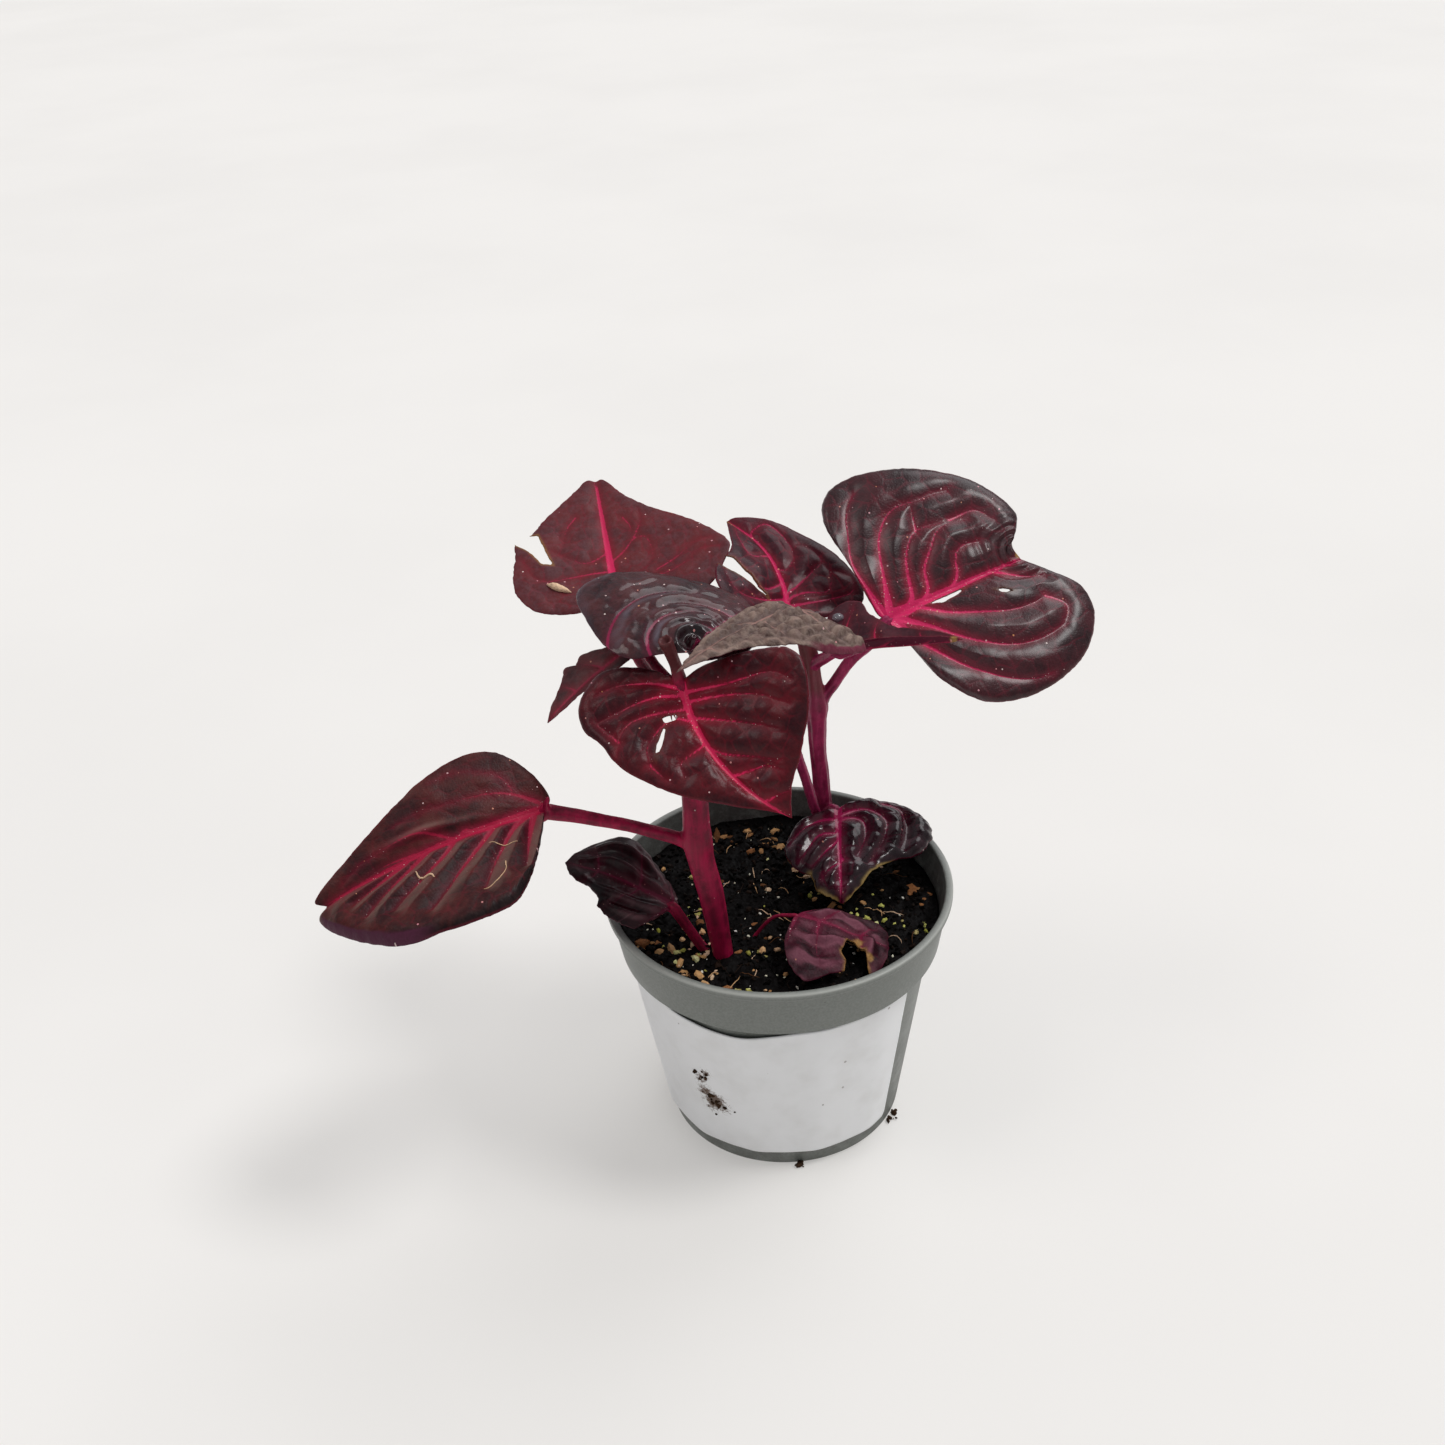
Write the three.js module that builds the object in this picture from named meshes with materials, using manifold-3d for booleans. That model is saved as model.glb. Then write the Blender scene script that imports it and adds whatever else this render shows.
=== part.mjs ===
// A young bloodleaf plant, two stems and twelve puckered leaves, in a small nursery pot.
// Millimetres, +Z up, the origin at the centre of the pot's base.

import * as THREE from 'three';
import { mergeVertices } from 'three/addons/utils/BufferGeometryUtils.js';
import Module from 'manifold-3d';

const wasm = await Module();
wasm.setup();

// Clearance between neighbouring solids, and the step that finished points are rounded to
const GAP = 0.3;
const ROUNDING = 0.01;

// Pot: the wall's outer line as radius and height, then the drain holes
const POT_SIDES = 44;
const POT = {
  height: 46,
  rimRadius: 30,
  rimWidth: 1.3,
  footRadius: 20.8,
  neckRadius: 26.3,
  collarRadius: 27.9,
  collarBottom: 36.2,
  wall: 0.9,
  floorTop: 1.8,
  recess: 0.8,
  recessInner: 7.5,
  recessOuter: 17.5,
  edge: 0.35,
};
const DRAIN = { count: 6, radius: 2.4, ring: 12.5, sides: 12, drill: 6 };

// Label: a sheet round the lower wall, from its left end to its right end in degrees from the front
const LABEL = { left: -100, right: 52, bottom: 3.6, top: 35.2, thickness: 0.35, steps: 30 };

// Soil: its surface, the lumps in it, and the grit
const SOIL = { top: 41, bottom: POT.floorTop + GAP, lump: 0.5, rings: 9, sides: 40 };
const GRIT = {
  count: 90,
  seed: 7,
  smallest: 0.7,
  largest: 1.7,
  slimmest: 0.6,
  flatness: 0.7,
  reach: 25.5,
  stemRoom: 7,
  sunk: 0.3,
};

// Stems and leaf stalks: the middle line, the radius at its start and end, and the sides
const STEM_SIDES = 10;
const STALK_SIDES = 8;
const LEFT_STEM = {
  line: [[-9.6, -12, 37], [-10.1, -12, 40.5], [-11.5, -12, 53], [-12.7, -11.7, 59.5], [-13.2, -11.5, 63.8],
    [-13.2, -11, 71.8], [-13.4, -10, 82], [-14.2, -8.7, 90.6], [-14.9, -8.6, 95.1], [-16.2, -9.9, 100.2]],
  radii: [1.6, 1.7, 2.1, 2.2, 2.35, 2.1, 1.8, 1.4, 1.3, 1.2],
};
const LEFT_STALKS = [
  {
    // to the low left leaf
    line: [[-13.2, -11.5, 63.2], [-22.2, -11.5, 66.9], [-30.2, -10.5, 68.7], [-37.3, -9, 69.5]],
    radii: [1.2, 1.05, 1.1, 1.5],
  },
  {
    // to the drooping leaf
    line: [[-10, -12, 38.5], [-13.2, -10, 40.2], [-15.4, -9.4, 43.8], [-18, -9, 48.8]],
    radii: [1, 0.95, 0.9, 1.1],
  },
  {
    // to the fallen leaf
    line: [[-9.8, -12, 38.2], [-5.8, -8.6, 39.8], [-1.5, -8.8, 45.2], [2.4, -10, 46.4]],
    radii: [0.9, 0.8, 0.65, 0.8],
  },
  {
    // to the heart-shaped leaf
    line: [[-13.8, -9.6, 86.5], [-14, -9.7, 89.5], [-14.1, -9.4, 91.9]],
    radii: [1.1, 1, 1],
  },
  {
    // to the small pointed leaf
    line: [[-14.3, -8.4, 90], [-17.5, -3.5, 91], [-20.4, 2.7, 92.5]],
    radii: [1, 0.9, 0.9],
  },
  {
    // to the leaf at the back left
    line: [[-14, -9.2, 87], [-19.5, 2, 87.5], [-23.6, 13, 89.5], [-24.8, 19.2, 92.9]],
    radii: [1.1, 0.95, 0.95, 1.1],
  },
];
const RIGHT_STEM = {
  line: [[11.2, 19.6, 37], [10.9, 19, 41.9], [9.5, 18, 48.1], [8.7, 16, 58.2], [8.3, 15, 63.5],
    [8.1, 13.6, 72.8], [7.5, 12.6, 79], [6.9, 12, 84.1], [5.8, 12, 89.6]],
  radii: [1.5, 1.5, 1.5, 1.45, 1.45, 1.7, 1.5, 1.6, 1.3],
};
const RIGHT_STALKS = [
  {
    // to the notched leaf
    line: [[8.2, 13.8, 73], [11, 13.2, 77.2], [13.8, 12.7, 81.8], [17.3, 12.2, 85.5], [19.9, 12, 89.2]],
    radii: [1.1, 1, 1, 1, 1.4],
  },
  {
    // to the folded leaf
    line: [[7.2, 12.4, 81.5], [9, 9.4, 84.4], [10.8, 5.3, 88]],
    radii: [1.2, 1, 1],
  },
  {
    // to the grey leaf
    line: [[6.4, 12, 86.5], [5.8, 8.4, 91.5], [5.1, 5.4, 95.4]],
    radii: [1.1, 0.9, 0.9],
  },
  {
    // to the leaf at the back
    line: [[6.4, 12, 85.5], [5, 15.3, 87.7], [3.9, 17.7, 89.2]],
    radii: [1.1, 1, 1],
  },
  {
    // to the arched leaf
    line: [[6.5, 12, 86], [2.4, 10.8, 90.6], [-1.4, 8.7, 94.1]],
    radii: [1, 0.9, 0.9],
  },
  {
    // a thin side shoot
    line: [[9.3, 17.8, 46], [7.9, 14.6, 49.8], [5.9, 11.5, 59.2], [4.7, 10, 64.6], [3.7, 8.8, 70]],
    radii: [1, 0.85, 0.85, 0.8, 0.7],
  },
  {
    // to the low right leaf
    line: [[9.4, 17.8, 47.5], [10.4, 15.4, 50.2], [11.4, 13.2, 51.3]],
    radii: [1.1, 0.9, 0.9],
  },
];

// Leaves. A blade starts at base, its midrib's chord ends at tip, and roll tilts it about that chord,
// left side down. droop is the whole turn of the midrib, sweep its sideways bow, fold the angle at which
// each half rises from it, and cup the further turn of each half at the distance half. left and right
// are the margins from base to tip on the flattened blade, as distance along and beside the midrib.
// The wedge-shaped tears and slits in cuts are given the same way.
const BLADE = {
  thickness: 0.8,
  columns: 3,
  veinReach: 0.6,
  veinBow: 0.1,
  bowStart: 5,
  tipRoom: 3,
  puckerShape: 0.7,
  panelShape: 0.8,
  waves: 5,
  cutDepth: 2.5,
};
const LEAVES = {
  leaf_right_notched: {
    base: [20, 12, 89.5], tip: [43.5, 21, 95], roll: -37, droop: 15,
    fold: [12, 12], cup: [-25, -30], half: 24, sweep: 0,
    left: [[-1, 2.5], [-1, 11.5], [-1, 20.5], [2, 25.5], [7.5, 26.5], [15, 24], [21, 20], [26, 15],
      [29, 8.5], [28, 5.5], [25.5, 3]],
    right: [[0.9, -4.5], [2.6, -13], [7, -19.5], [13, -22], [20, -22], [27, -19.5], [32, -14],
      [32.5, -8.5], [29, -4]],
    cuts: [[[7.5, -1], [10.5, -1.3], [14, -1.6], [11, -2.1]]], veins: 7, puff: 0.7, wave: 0.2,
  },
  leaf_front_heart: {
    base: [-14, -9, 92], tip: [1.5, -27, 78], roll: -27, droop: 25,
    fold: [20, 5], cup: [0, -20], half: 22, sweep: -3.5,
    left: [[0.3, 2], [1, 4.7], [3, 8], [5.5, 12], [8.5, 15.7], [12, 16], [16.5, 13], [21, 7.5],
      [24, 3]],
    right: [[-2.5, -1], [-7.5, -4.5], [-10, -9], [-8, -14.5], [-4, -16.5], [0, -15.8], [6, -15.5],
      [14, -12], [21, -6], [25.5, -1.5]],
    cuts: [[[3.6, -6.4], [3.7, -5], [4.7, -3.8], [4.6, -5.3]], [[7.6, -10.4], [5.8, -8.9], [4.6, -6.8],
      [6.6, -8.4]]],
    veins: 6, puff: 0.5, wave: 0.15,
  },
  leaf_low_left: {
    base: [-37.5, -9, 69.5], tip: [-71.5, -22, 62.5], roll: 18, droop: 30,
    fold: [0, 28], cup: [25, -25], half: 22, sweep: 0,
    left: [[1, 2.2], [3.6, 7], [7.3, 13], [10.5, 17], [14, 18], [21, 17.5], [29, 14.5], [36, 7.5],
      [39.5, 2]],
    right: [[-1.5, -2], [0, -6.5], [4, -11.5], [9, -13], [16, -11.5], [24, -8], [31, -5], [38.5, -2]],
    cuts: [], veins: 7, puff: 0.6, wave: 0.15,
  },
  leaf_back_left: {
    base: [-24.8, 19.4, 93.2], tip: [-28.5, 46.8, 102.1], roll: 5, droop: 0,
    fold: [5, 5], cup: [0, 0], half: 20, sweep: 0,
    left: [[-3.1, 6.3], [-2.1, 12.7], [1, 15.8], [5.3, 16.8], [10.6, 16], [15.3, 15.4], [17.5, 12.2],
      [21.1, 9.5], [26.4, 4.3], [29.5, 1.6]],
    right: [[-2.6, -4.3], [-4.3, -10.6], [-2.6, -15.8], [1.6, -19], [5.8, -20.6], [10, -18.5],
      [14.8, -14.2], [20.1, -7.9], [24.3, -4.3], [29, -1.6]],
    cuts: [[[8.4, 9.7], [16.8, 11.6], [17.1, 14.8], [15, 15.8], [12.7, 13.5], [8.8, 11.6]]],
      veins: 6, puff: 0.35, wave: 0.15,
  },
  leaf_back_centre: {
    base: [3.7, 18.1, 89.7], tip: [-5.5, 35.2, 98.3], roll: -5, droop: 15,
    fold: [18, 15], cup: [0, -10], half: 14, sweep: -2.5,
    left: [[-0.7, 4.1], [-1, 8.7], [0.9, 12.2], [4.6, 13.4], [8.1, 11.6], [10.6, 8.1], [13.2, 4.6],
      [17.2, 2.3]],
    right: [[-3, -2], [-4.6, -8.1], [-4.1, -12.2], [-1.5, -14.2], [3, -14.2], [8.1, -13],
      [13.2, -10.1], [18.2, -6.6], [21.3, -2]],
    cuts: [[[8.1, 6.7], [5.6, 5.3], [3.2, 2.9], [6.1, 4.3]]], veins: 6, puff: 0.5, wave: 0.15,
  },
  leaf_arched_glossy: {
    base: [-1.6, 8.5, 94.4], tip: [-12.9, -7.5, 96.4], roll: 15, droop: 35,
    fold: [0, 0], cup: [-30, -12], half: 20, sweep: 0,
    left: [[1, 1.5], [3.9, 3.4], [8.9, 5.9], [13.8, 6.4], [17.7, 4.4], [20.7, 2]],
    right: [[0.2, -4.3], [0.8, -11.8], [3.9, -16.7], [8.4, -21.2], [13.8, -23.6], [19.2, -23.1],
      [22.7, -18.7], [26.1, -11.8], [26.1, -6.4], [22.7, -3]],
    cuts: [], veins: 6, puff: 0.6, wave: 0.1,
  },
  leaf_grey_front: {
    base: [4.9, 5, 96.3], tip: [-14.5, -17.5, 98.6], roll: -5, droop: 20,
    fold: [-5, 0], cup: [-30, 0], half: 16, sweep: 0,
    left: [[-1.5, 2], [-1, 6], [-1.3, 10.5], [-1.4, 13.8], [4, 13], [9, 10], [13, 7], [19.5, 3.5], [26, 1]],
    right: [[-1, -2.5], [-0.5, -5.5], [4, -6.3], [10, -5], [19, -3.2], [26, -1.2]],
    cuts: [], veins: 6, puff: 0.4, wave: 0.1,
  },
  leaf_folded_right: {
    base: [10.9, 5, 88.2], tip: [30, -4, 94.2], roll: 0, droop: 10,
    fold: [25, 65], cup: [0, 0], half: 12, sweep: 0,
    left: [[-2, 4], [-3, 8], [-0.5, 10.5], [3, 10], [6, 7.5], [11, 4.5], [17, 2]],
    right: [[-0.5, -3], [4, -5], [9, -5], [14, -4], [19, -2.5]],
    cuts: [], veins: 5, puff: 0.3, wave: 0.1,
  },
  leaf_small_left: {
    base: [-20.6, 3, 92.7], tip: [-35.7, -6, 84.2], roll: 0, droop: 20,
    fold: [10, 10], cup: [0, 0], half: 10, sweep: 0,
    left: [[1, 2], [4, 2.6], [8, 2], [12, 1.5], [16, 0.8]],
    right: [[1.5, -2], [4.5, -3.5], [8, -5.5], [10, -4.5], [11.5, -5.3], [14, -3.5], [17, -2]],
    cuts: [], veins: 4, puff: 0.2, wave: 0.1,
  },
  leaf_low_right: {
    base: [11.5, 13, 51.5], tip: [10.5, -5, 44.5], roll: 0, droop: 20,
    fold: [0, 0], cup: [-20, -30], half: 14, sweep: 0,
    left: [[-2, 3], [-3, 7.5], [-2, 13.5], [2.5, 17], [7.5, 15.5], [9.5, 12.5], [10.5, 9.5],
      [12.5, 6.5], [16, 3.5], [18.5, 1.5]],
    right: [[1, -3.5], [3, -8], [8, -9.5], [12.5, -7.5], [14, -5], [17, -4], [18.5, -1.5]],
    cuts: [], veins: 5, puff: 0.6, wave: 0.4,
  },
  leaf_drooping_left: {
    base: [-18, -9, 49], tip: [-36, -2, 54], roll: 15, droop: 35,
    fold: [0, 0], cup: [-20, -10], half: 12, sweep: 0,
    left: [[1, 2.5], [3.5, 6.5], [7, 7.5], [10.5, 6.5], [12.5, 4], [15.5, 3.2], [18.5, 2]],
    right: [[0, -1.5], [5, -5.5], [11, -8.5], [15, -7.5], [19, -3]],
    cuts: [], veins: 4, puff: 0.5, wave: 0.3,
  },
  leaf_fallen_front: {
    base: [2.5, -10, 46.5], tip: [17.5, -15, 42.3], roll: 0, droop: 10,
    fold: [0, 0], cup: [-15, -15], half: 10, sweep: 0,
    left: [[3.5, 3], [8, 5], [12, 5.2], [15, 4]],
    right: [[-0.3, -2], [0, -7], [2, -11], [5.5, -12.5], [9, -9.5], [12, -8], [15.5, -6.8],
      [16.5, -3.5]],
    cuts: [], veins: 4, puff: 0.4, wave: 0.2,
  },
};

const radians = THREE.MathUtils.degToRad;

// Closed geometry with shared vertices and without collapsed triangles
function weld(geometry) {
  const bare = new THREE.BufferGeometry();
  bare.setAttribute('position', geometry.getAttribute('position'));
  if (geometry.index) bare.setIndex(geometry.index);
  const merged = mergeVertices(bare, 1e-4);
  const corners = Array.from(merged.index.array);
  const kept = [];
  for (let i = 0; i < corners.length; i += 3) {
    const [a, b, c] = corners.slice(i, i + 3);
    if (a !== b && b !== c && c !== a) kept.push(a, b, c);
  }
  merged.setIndex(kept);
  return merged;
}

// Manifold solid of a closed geometry
function solid(geometry) {
  const welded = weld(geometry);
  return new wasm.Manifold(new wasm.Mesh({
    numProp: 3,
    vertProperties: new Float32Array(welded.getAttribute('position').array),
    triVerts: new Uint32Array(welded.index.array),
  }));
}

// Geometry of a Manifold solid, its points rounded so that slivers left by the cuts close up
function surface(manifold) {
  const mesh = manifold.simplify(ROUNDING).getMesh();
  const numbers = mesh.vertProperties.map((number) => Math.round(number / ROUNDING) * ROUNDING);
  const geometry = new THREE.BufferGeometry();
  geometry.setAttribute('position', new THREE.BufferAttribute(numbers, 3));
  geometry.setIndex(new THREE.BufferAttribute(mesh.triVerts, 1));
  const welded = weld(geometry);
  welded.computeVertexNormals();
  return welded;
}

// Largest of a solid's separate bodies, without the scraps that cutting leaves
function largestBody(manifold) {
  return manifold.decompose().sort((a, b) => b.volume() - a.volume())[0];
}

// Geometry from a flat list of triangles, each three points
function fromTriangles(triangles) {
  const geometry = new THREE.BufferGeometry();
  const numbers = triangles.flat().flatMap((point) => [point.x, point.y, point.z]);
  geometry.setAttribute('position', new THREE.Float32BufferAttribute(numbers, 3));
  return geometry;
}

// Repeatable random numbers from 0 to 1, from a small linear congruence
function randomSource(seed) {
  let state = seed;
  return () => {
    state = (state * 48271) % 2147483647;
    return state / 2147483647;
  };
}

// A lathe profile of [radius, height] pairs turned about Z
function turned(profile, sides) {
  const points = profile.map(([radius, height]) => new THREE.Vector2(radius, height));
  return new THREE.LatheGeometry(points, sides).rotateX(Math.PI / 2);
}

// Outer radius of the pot's tapered wall at a height
function wallRadius(height) {
  const share = height / POT.collarBottom;
  return THREE.MathUtils.lerp(POT.footRadius, POT.neckRadius, share);
}

// Inner radius of the pot at a height, in the lower wall or in the collar
function innerRadius(height) {
  if (height <= POT.collarBottom - POT.wall) return wallRadius(height) - POT.wall;
  const share = (height - POT.collarBottom) / (POT.height - POT.collarBottom);
  const collar = THREE.MathUtils.lerp(POT.collarRadius, POT.rimRadius - POT.edge, Math.max(share, 0));
  return collar - POT.wall;
}

// Tapered shell with a stepped collar, a flat rim and drain holes in a recess of the floor
function makePot() {
  const innerStep = POT.collarBottom - POT.wall;
  const profile = [
    [0, 0], [POT.recessInner, 0], [POT.recessInner + POT.edge, POT.recess],
    [POT.recessOuter - POT.edge, POT.recess], [POT.recessOuter, 0],
    [POT.footRadius - POT.edge, 0], [POT.footRadius, POT.edge],
    [POT.neckRadius, POT.collarBottom], [POT.collarRadius, POT.collarBottom + POT.edge],
    [POT.rimRadius - 2 * POT.edge, POT.height - 3 * POT.edge], [POT.rimRadius, POT.height - 2 * POT.edge],
    [POT.rimRadius, POT.height - POT.edge], [POT.rimRadius - POT.edge, POT.height],
    [POT.rimRadius - POT.rimWidth, POT.height], [innerRadius(POT.height - 1), POT.height - 1],
    [innerRadius(POT.collarBottom + POT.wall), POT.collarBottom + POT.wall],
    [innerRadius(innerStep), innerStep], [innerRadius(POT.floorTop), POT.floorTop], [0, POT.floorTop],
  ];
  let pot = solid(turned(profile, POT_SIDES));
  for (let i = 0; i < DRAIN.count; i += 1) {
    const angle = (i / DRAIN.count) * 2 * Math.PI;
    const drill = new THREE.CylinderGeometry(DRAIN.radius, DRAIN.radius, DRAIN.drill, DRAIN.sides);
    drill.rotateX(Math.PI / 2);
    drill.translate(DRAIN.ring * Math.cos(angle), DRAIN.ring * Math.sin(angle), 0);
    pot = pot.subtract(solid(drill));
  }
  return pot;
}

// Paper sheet that follows the wall's cone, clear of it by the gap
function makeLabel() {
  const at = (step, height, out) => {
    const angle = radians(THREE.MathUtils.lerp(LABEL.left, LABEL.right, step / LABEL.steps));
    const radius = wallRadius(height) / Math.cos(Math.PI / POT_SIDES) + GAP + out;
    return new THREE.Vector3(radius * Math.sin(angle), -radius * Math.cos(angle), height);
  };
  const triangles = [];
  const quad = (a, b, c, d) => triangles.push([a, b, c], [a, c, d]);
  const { bottom, top, thickness, steps } = LABEL;
  for (let i = 0; i < steps; i += 1) {
    const next = i + 1;
    quad(at(i, bottom, thickness), at(next, bottom, thickness), at(next, top, thickness), at(i, top, thickness));
    quad(at(i, top, 0), at(next, top, 0), at(next, bottom, 0), at(i, bottom, 0));
    quad(at(i, top, thickness), at(next, top, thickness), at(next, top, 0), at(i, top, 0));
    quad(at(i, bottom, 0), at(next, bottom, 0), at(next, bottom, thickness), at(i, bottom, thickness));
  }
  quad(at(0, bottom, 0), at(0, bottom, thickness), at(0, top, thickness), at(0, top, 0));
  quad(at(steps, bottom, thickness), at(steps, bottom, 0), at(steps, top, 0), at(steps, top, thickness));
  return solid(fromTriangles(triangles));
}

// Height of the lumps in the soil at a place on its surface
function lumpHeight(x, y) {
  return SOIL.lump * (Math.sin(0.55 * x + 0.4) * Math.cos(0.47 * y) + 0.5 * Math.sin(1.3 * x - 0.9 * y));
}

// Plug of soil up to its lumpy surface, with grit half sunk in it
function makeSoil() {
  const edgeRadius = innerRadius(SOIL.top) - GAP;
  const shoulder = POT.collarBottom + POT.wall;
  const profile = [
    [0, SOIL.bottom], [innerRadius(SOIL.bottom) - GAP, SOIL.bottom],
    [innerRadius(POT.collarBottom - POT.wall) - GAP, POT.collarBottom - POT.wall],
    [innerRadius(shoulder) - GAP, shoulder],
  ];
  for (let ring = SOIL.rings; ring >= 0; ring -= 1) {
    profile.push([(edgeRadius * ring) / SOIL.rings, SOIL.top]);
  }
  const plug = turned(profile, SOIL.sides);
  const position = plug.getAttribute('position');
  for (let i = 0; i < position.count; i += 1) {
    if (position.getZ(i) > SOIL.top - GAP) {
      const [x, y] = [position.getX(i), position.getY(i)];
      const calm = 1 - Math.pow(Math.hypot(x, y) / edgeRadius, 4);
      position.setZ(i, SOIL.top + calm * lumpHeight(x, y));
    }
  }
  let soil = solid(plug);
  const random = randomSource(GRIT.seed);
  for (let i = 0; i < GRIT.count; i += 1) {
    const radius = GRIT.reach * Math.sqrt(random());
    const angle = 2 * Math.PI * random();
    const size = THREE.MathUtils.lerp(GRIT.smallest, GRIT.largest, random() ** 2);
    const grain = new THREE.OctahedronGeometry(size, 0);
    grain.scale(1, THREE.MathUtils.lerp(GRIT.slimmest, 1, random()), GRIT.flatness);
    grain.rotateY(random() - 0.5).rotateZ(Math.PI * random());
    const [x, y] = [radius * Math.cos(angle), radius * Math.sin(angle)];
    const nearStem = [LEFT_STEM, RIGHT_STEM].some(({ line }) => (
      Math.hypot(x - line[1][0], y - line[1][1]) < GRIT.stemRoom
    ));
    if (nearStem) continue;
    grain.translate(x, y, SOIL.top + lumpHeight(x, y) - GRIT.sunk);
    soil = soil.add(solid(grain));
  }
  return soil;
}

// Tube of varying radius along a smooth line, with closed ends, grown by a margin
function makeTube({ line, radii }, sides, margin = 0) {
  const curve = new THREE.CatmullRomCurve3(line.map((point) => new THREE.Vector3(...point)));
  const steps = 2 * (line.length - 1);
  const frames = curve.computeFrenetFrames(steps);
  const tube = new THREE.CylinderGeometry(1, 1, 1, sides, steps);
  const position = tube.getAttribute('position');
  for (let i = 0; i < position.count; i += 1) {
    const share = position.getY(i) + 0.5;
    const step = Math.round(share * steps);
    const place = share * (radii.length - 1);
    const knot = Math.min(Math.floor(place), radii.length - 2);
    const radius = THREE.MathUtils.lerp(radii[knot], radii[knot + 1], place - knot) + margin;
    const point = curve.getPoint(share)
      .addScaledVector(frames.binormals[step], radius * position.getX(i))
      .addScaledVector(frames.normals[step], radius * position.getZ(i));
    if (margin && share === 0) point.addScaledVector(frames.tangents[0], -margin);
    if (margin && share === 1) point.addScaledVector(frames.tangents[steps], margin);
    position.setXYZ(i, point.x, point.y, point.z);
  }
  return solid(tube);
}

// A stem and the leaf stalks that grow from it, as one body
function makeStem(stem, stalks, margin = 0) {
  let body = makeTube(stem, STEM_SIDES, margin);
  for (const stalk of stalks) body = body.add(makeTube(stalk, STALK_SIDES, margin));
  return body;
}

// Directions of a blade at its base, and the length of its midrib
function bladeAxes(leaf) {
  const base = new THREE.Vector3(...leaf.base);
  const chord = new THREE.Vector3(...leaf.tip).sub(base);
  const droop = Math.max(radians(leaf.droop), 1e-4);
  const length = (chord.length() * (droop / 2)) / Math.sin(droop / 2);
  chord.normalize();
  const level = new THREE.Vector3(0, 0, 1).cross(chord).normalize();
  const face = chord.clone().cross(level).applyAxisAngle(chord, -radians(leaf.roll));
  const ahead = chord.clone().multiplyScalar(Math.cos(droop / 2)).addScaledVector(face, Math.sin(droop / 2));
  const up = chord.clone().multiplyScalar(-Math.sin(droop / 2)).addScaledVector(face, Math.cos(droop / 2));
  return { base, length, droop, ahead, up, left: up.clone().cross(ahead) };
}

// Sideways place of the midrib at a distance along it
function midribOffset(leaf, length, x) {
  const share = THREE.MathUtils.clamp(x / length, 0, 1);
  return 4 * leaf.sweep * share * (1 - share);
}

// Point of the bent blade for a flat place, raised by lift along the blade's normal. Along the midrib
// the blade bends on one arc, and across it each half leaves at its fold and bends on an arc of its own.
function bladePoint(leaf, axes, x, y, lift, onMidrib = false) {
  const bend = axes.droop / axes.length;
  const turn = bend * Math.max(x, 0);
  const middle = axes.base.clone()
    .addScaledVector(axes.ahead, Math.sin(turn) / bend + Math.min(x, 0))
    .addScaledVector(axes.up, -(1 - Math.cos(turn)) / bend);
  const normal = axes.ahead.clone().multiplyScalar(Math.sin(turn)).addScaledVector(axes.up, Math.cos(turn));
  const offset = midribOffset(leaf, axes.length, x);
  const side = y >= offset ? 1 : -1;
  const index = side > 0 ? 0 : 1;
  const distance = Math.abs(y - offset);
  const fold = radians(leaf.fold[index]);
  const curl = (radians(leaf.cup[index]) || 1e-4) / leaf.half;
  const end = fold + curl * distance;
  const across = offset + (side * (Math.sin(end) - Math.sin(fold))) / curl;
  const rise = (Math.cos(fold) - Math.cos(end)) / curl;
  const facing = onMidrib
    ? normal.clone()
    : axes.left.clone().multiplyScalar(-side * Math.sin(end)).addScaledVector(normal, Math.cos(end));
  middle.addScaledVector(axes.left, across);
  return middle.addScaledVector(normal, rise).addScaledVector(facing, lift);
}

// Margin of one half as a smooth curve on the flattened blade, from base to tip
function marginCurve(outline, length) {
  const knots = [[0, 0], ...outline, [length, 0]].map(([x, y]) => new THREE.Vector3(x, y, 0));
  return new THREE.CatmullRomCurve3(knots, false, 'catmullrom');
}

// Places on the midrib where the rows of both halves start: behind their ends on the two margins by
// a share of the distance to them, never further back than the row before, and clear of the tip
function rowRoots(leaf, length, margins, rows) {
  const roots = [0];
  for (let row = 1; row < rows; row += 1) {
    const behind = margins.map((margin) => {
      const edge = margin.getPoint(row / rows);
      return edge.x - BLADE.veinReach * Math.abs(edge.y - midribOffset(leaf, length, edge.x));
    });
    const mean = (behind[0] + behind[1]) / 2;
    roots.push(Math.max(roots[row - 1], THREE.MathUtils.clamp(mean, 0, length - BLADE.tipRoom)));
  }
  return [...roots, length];
}

// Flat place on one half: share runs along its margin from base to tip, reach from the root on the
// midrib to the margin along a side vein, which bows back towards the base
function flatPlace(leaf, length, margin, root, share, reach) {
  const edge = margin.getPoint(share);
  const side = Math.abs(edge.y - midribOffset(leaf, length, edge.x));
  const bow = BLADE.veinBow * side * Math.min(root / BLADE.bowStart, 1) * Math.sin(Math.PI * reach);
  return {
    x: THREE.MathUtils.lerp(root, edge.x, reach) - bow,
    y: THREE.MathUtils.lerp(midribOffset(leaf, length, root), edge.y, reach),
  };
}

// Height of the puckers between the sunken side veins, and of the wave in the margin
function reliefHeight(leaf, share, reach) {
  const between = Math.abs(Math.sin(Math.PI * leaf.veins * share)) ** BLADE.puckerShape;
  const panel = Math.sqrt(Math.max(Math.sin(Math.PI * reach ** BLADE.panelShape), 0));
  const ripple = Math.sin(BLADE.waves * Math.PI * share + leaf.half) * Math.sin(Math.PI * share);
  const wave = ripple * reach * reach;
  return leaf.puff * between * panel + leaf.wave * wave;
}

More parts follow.
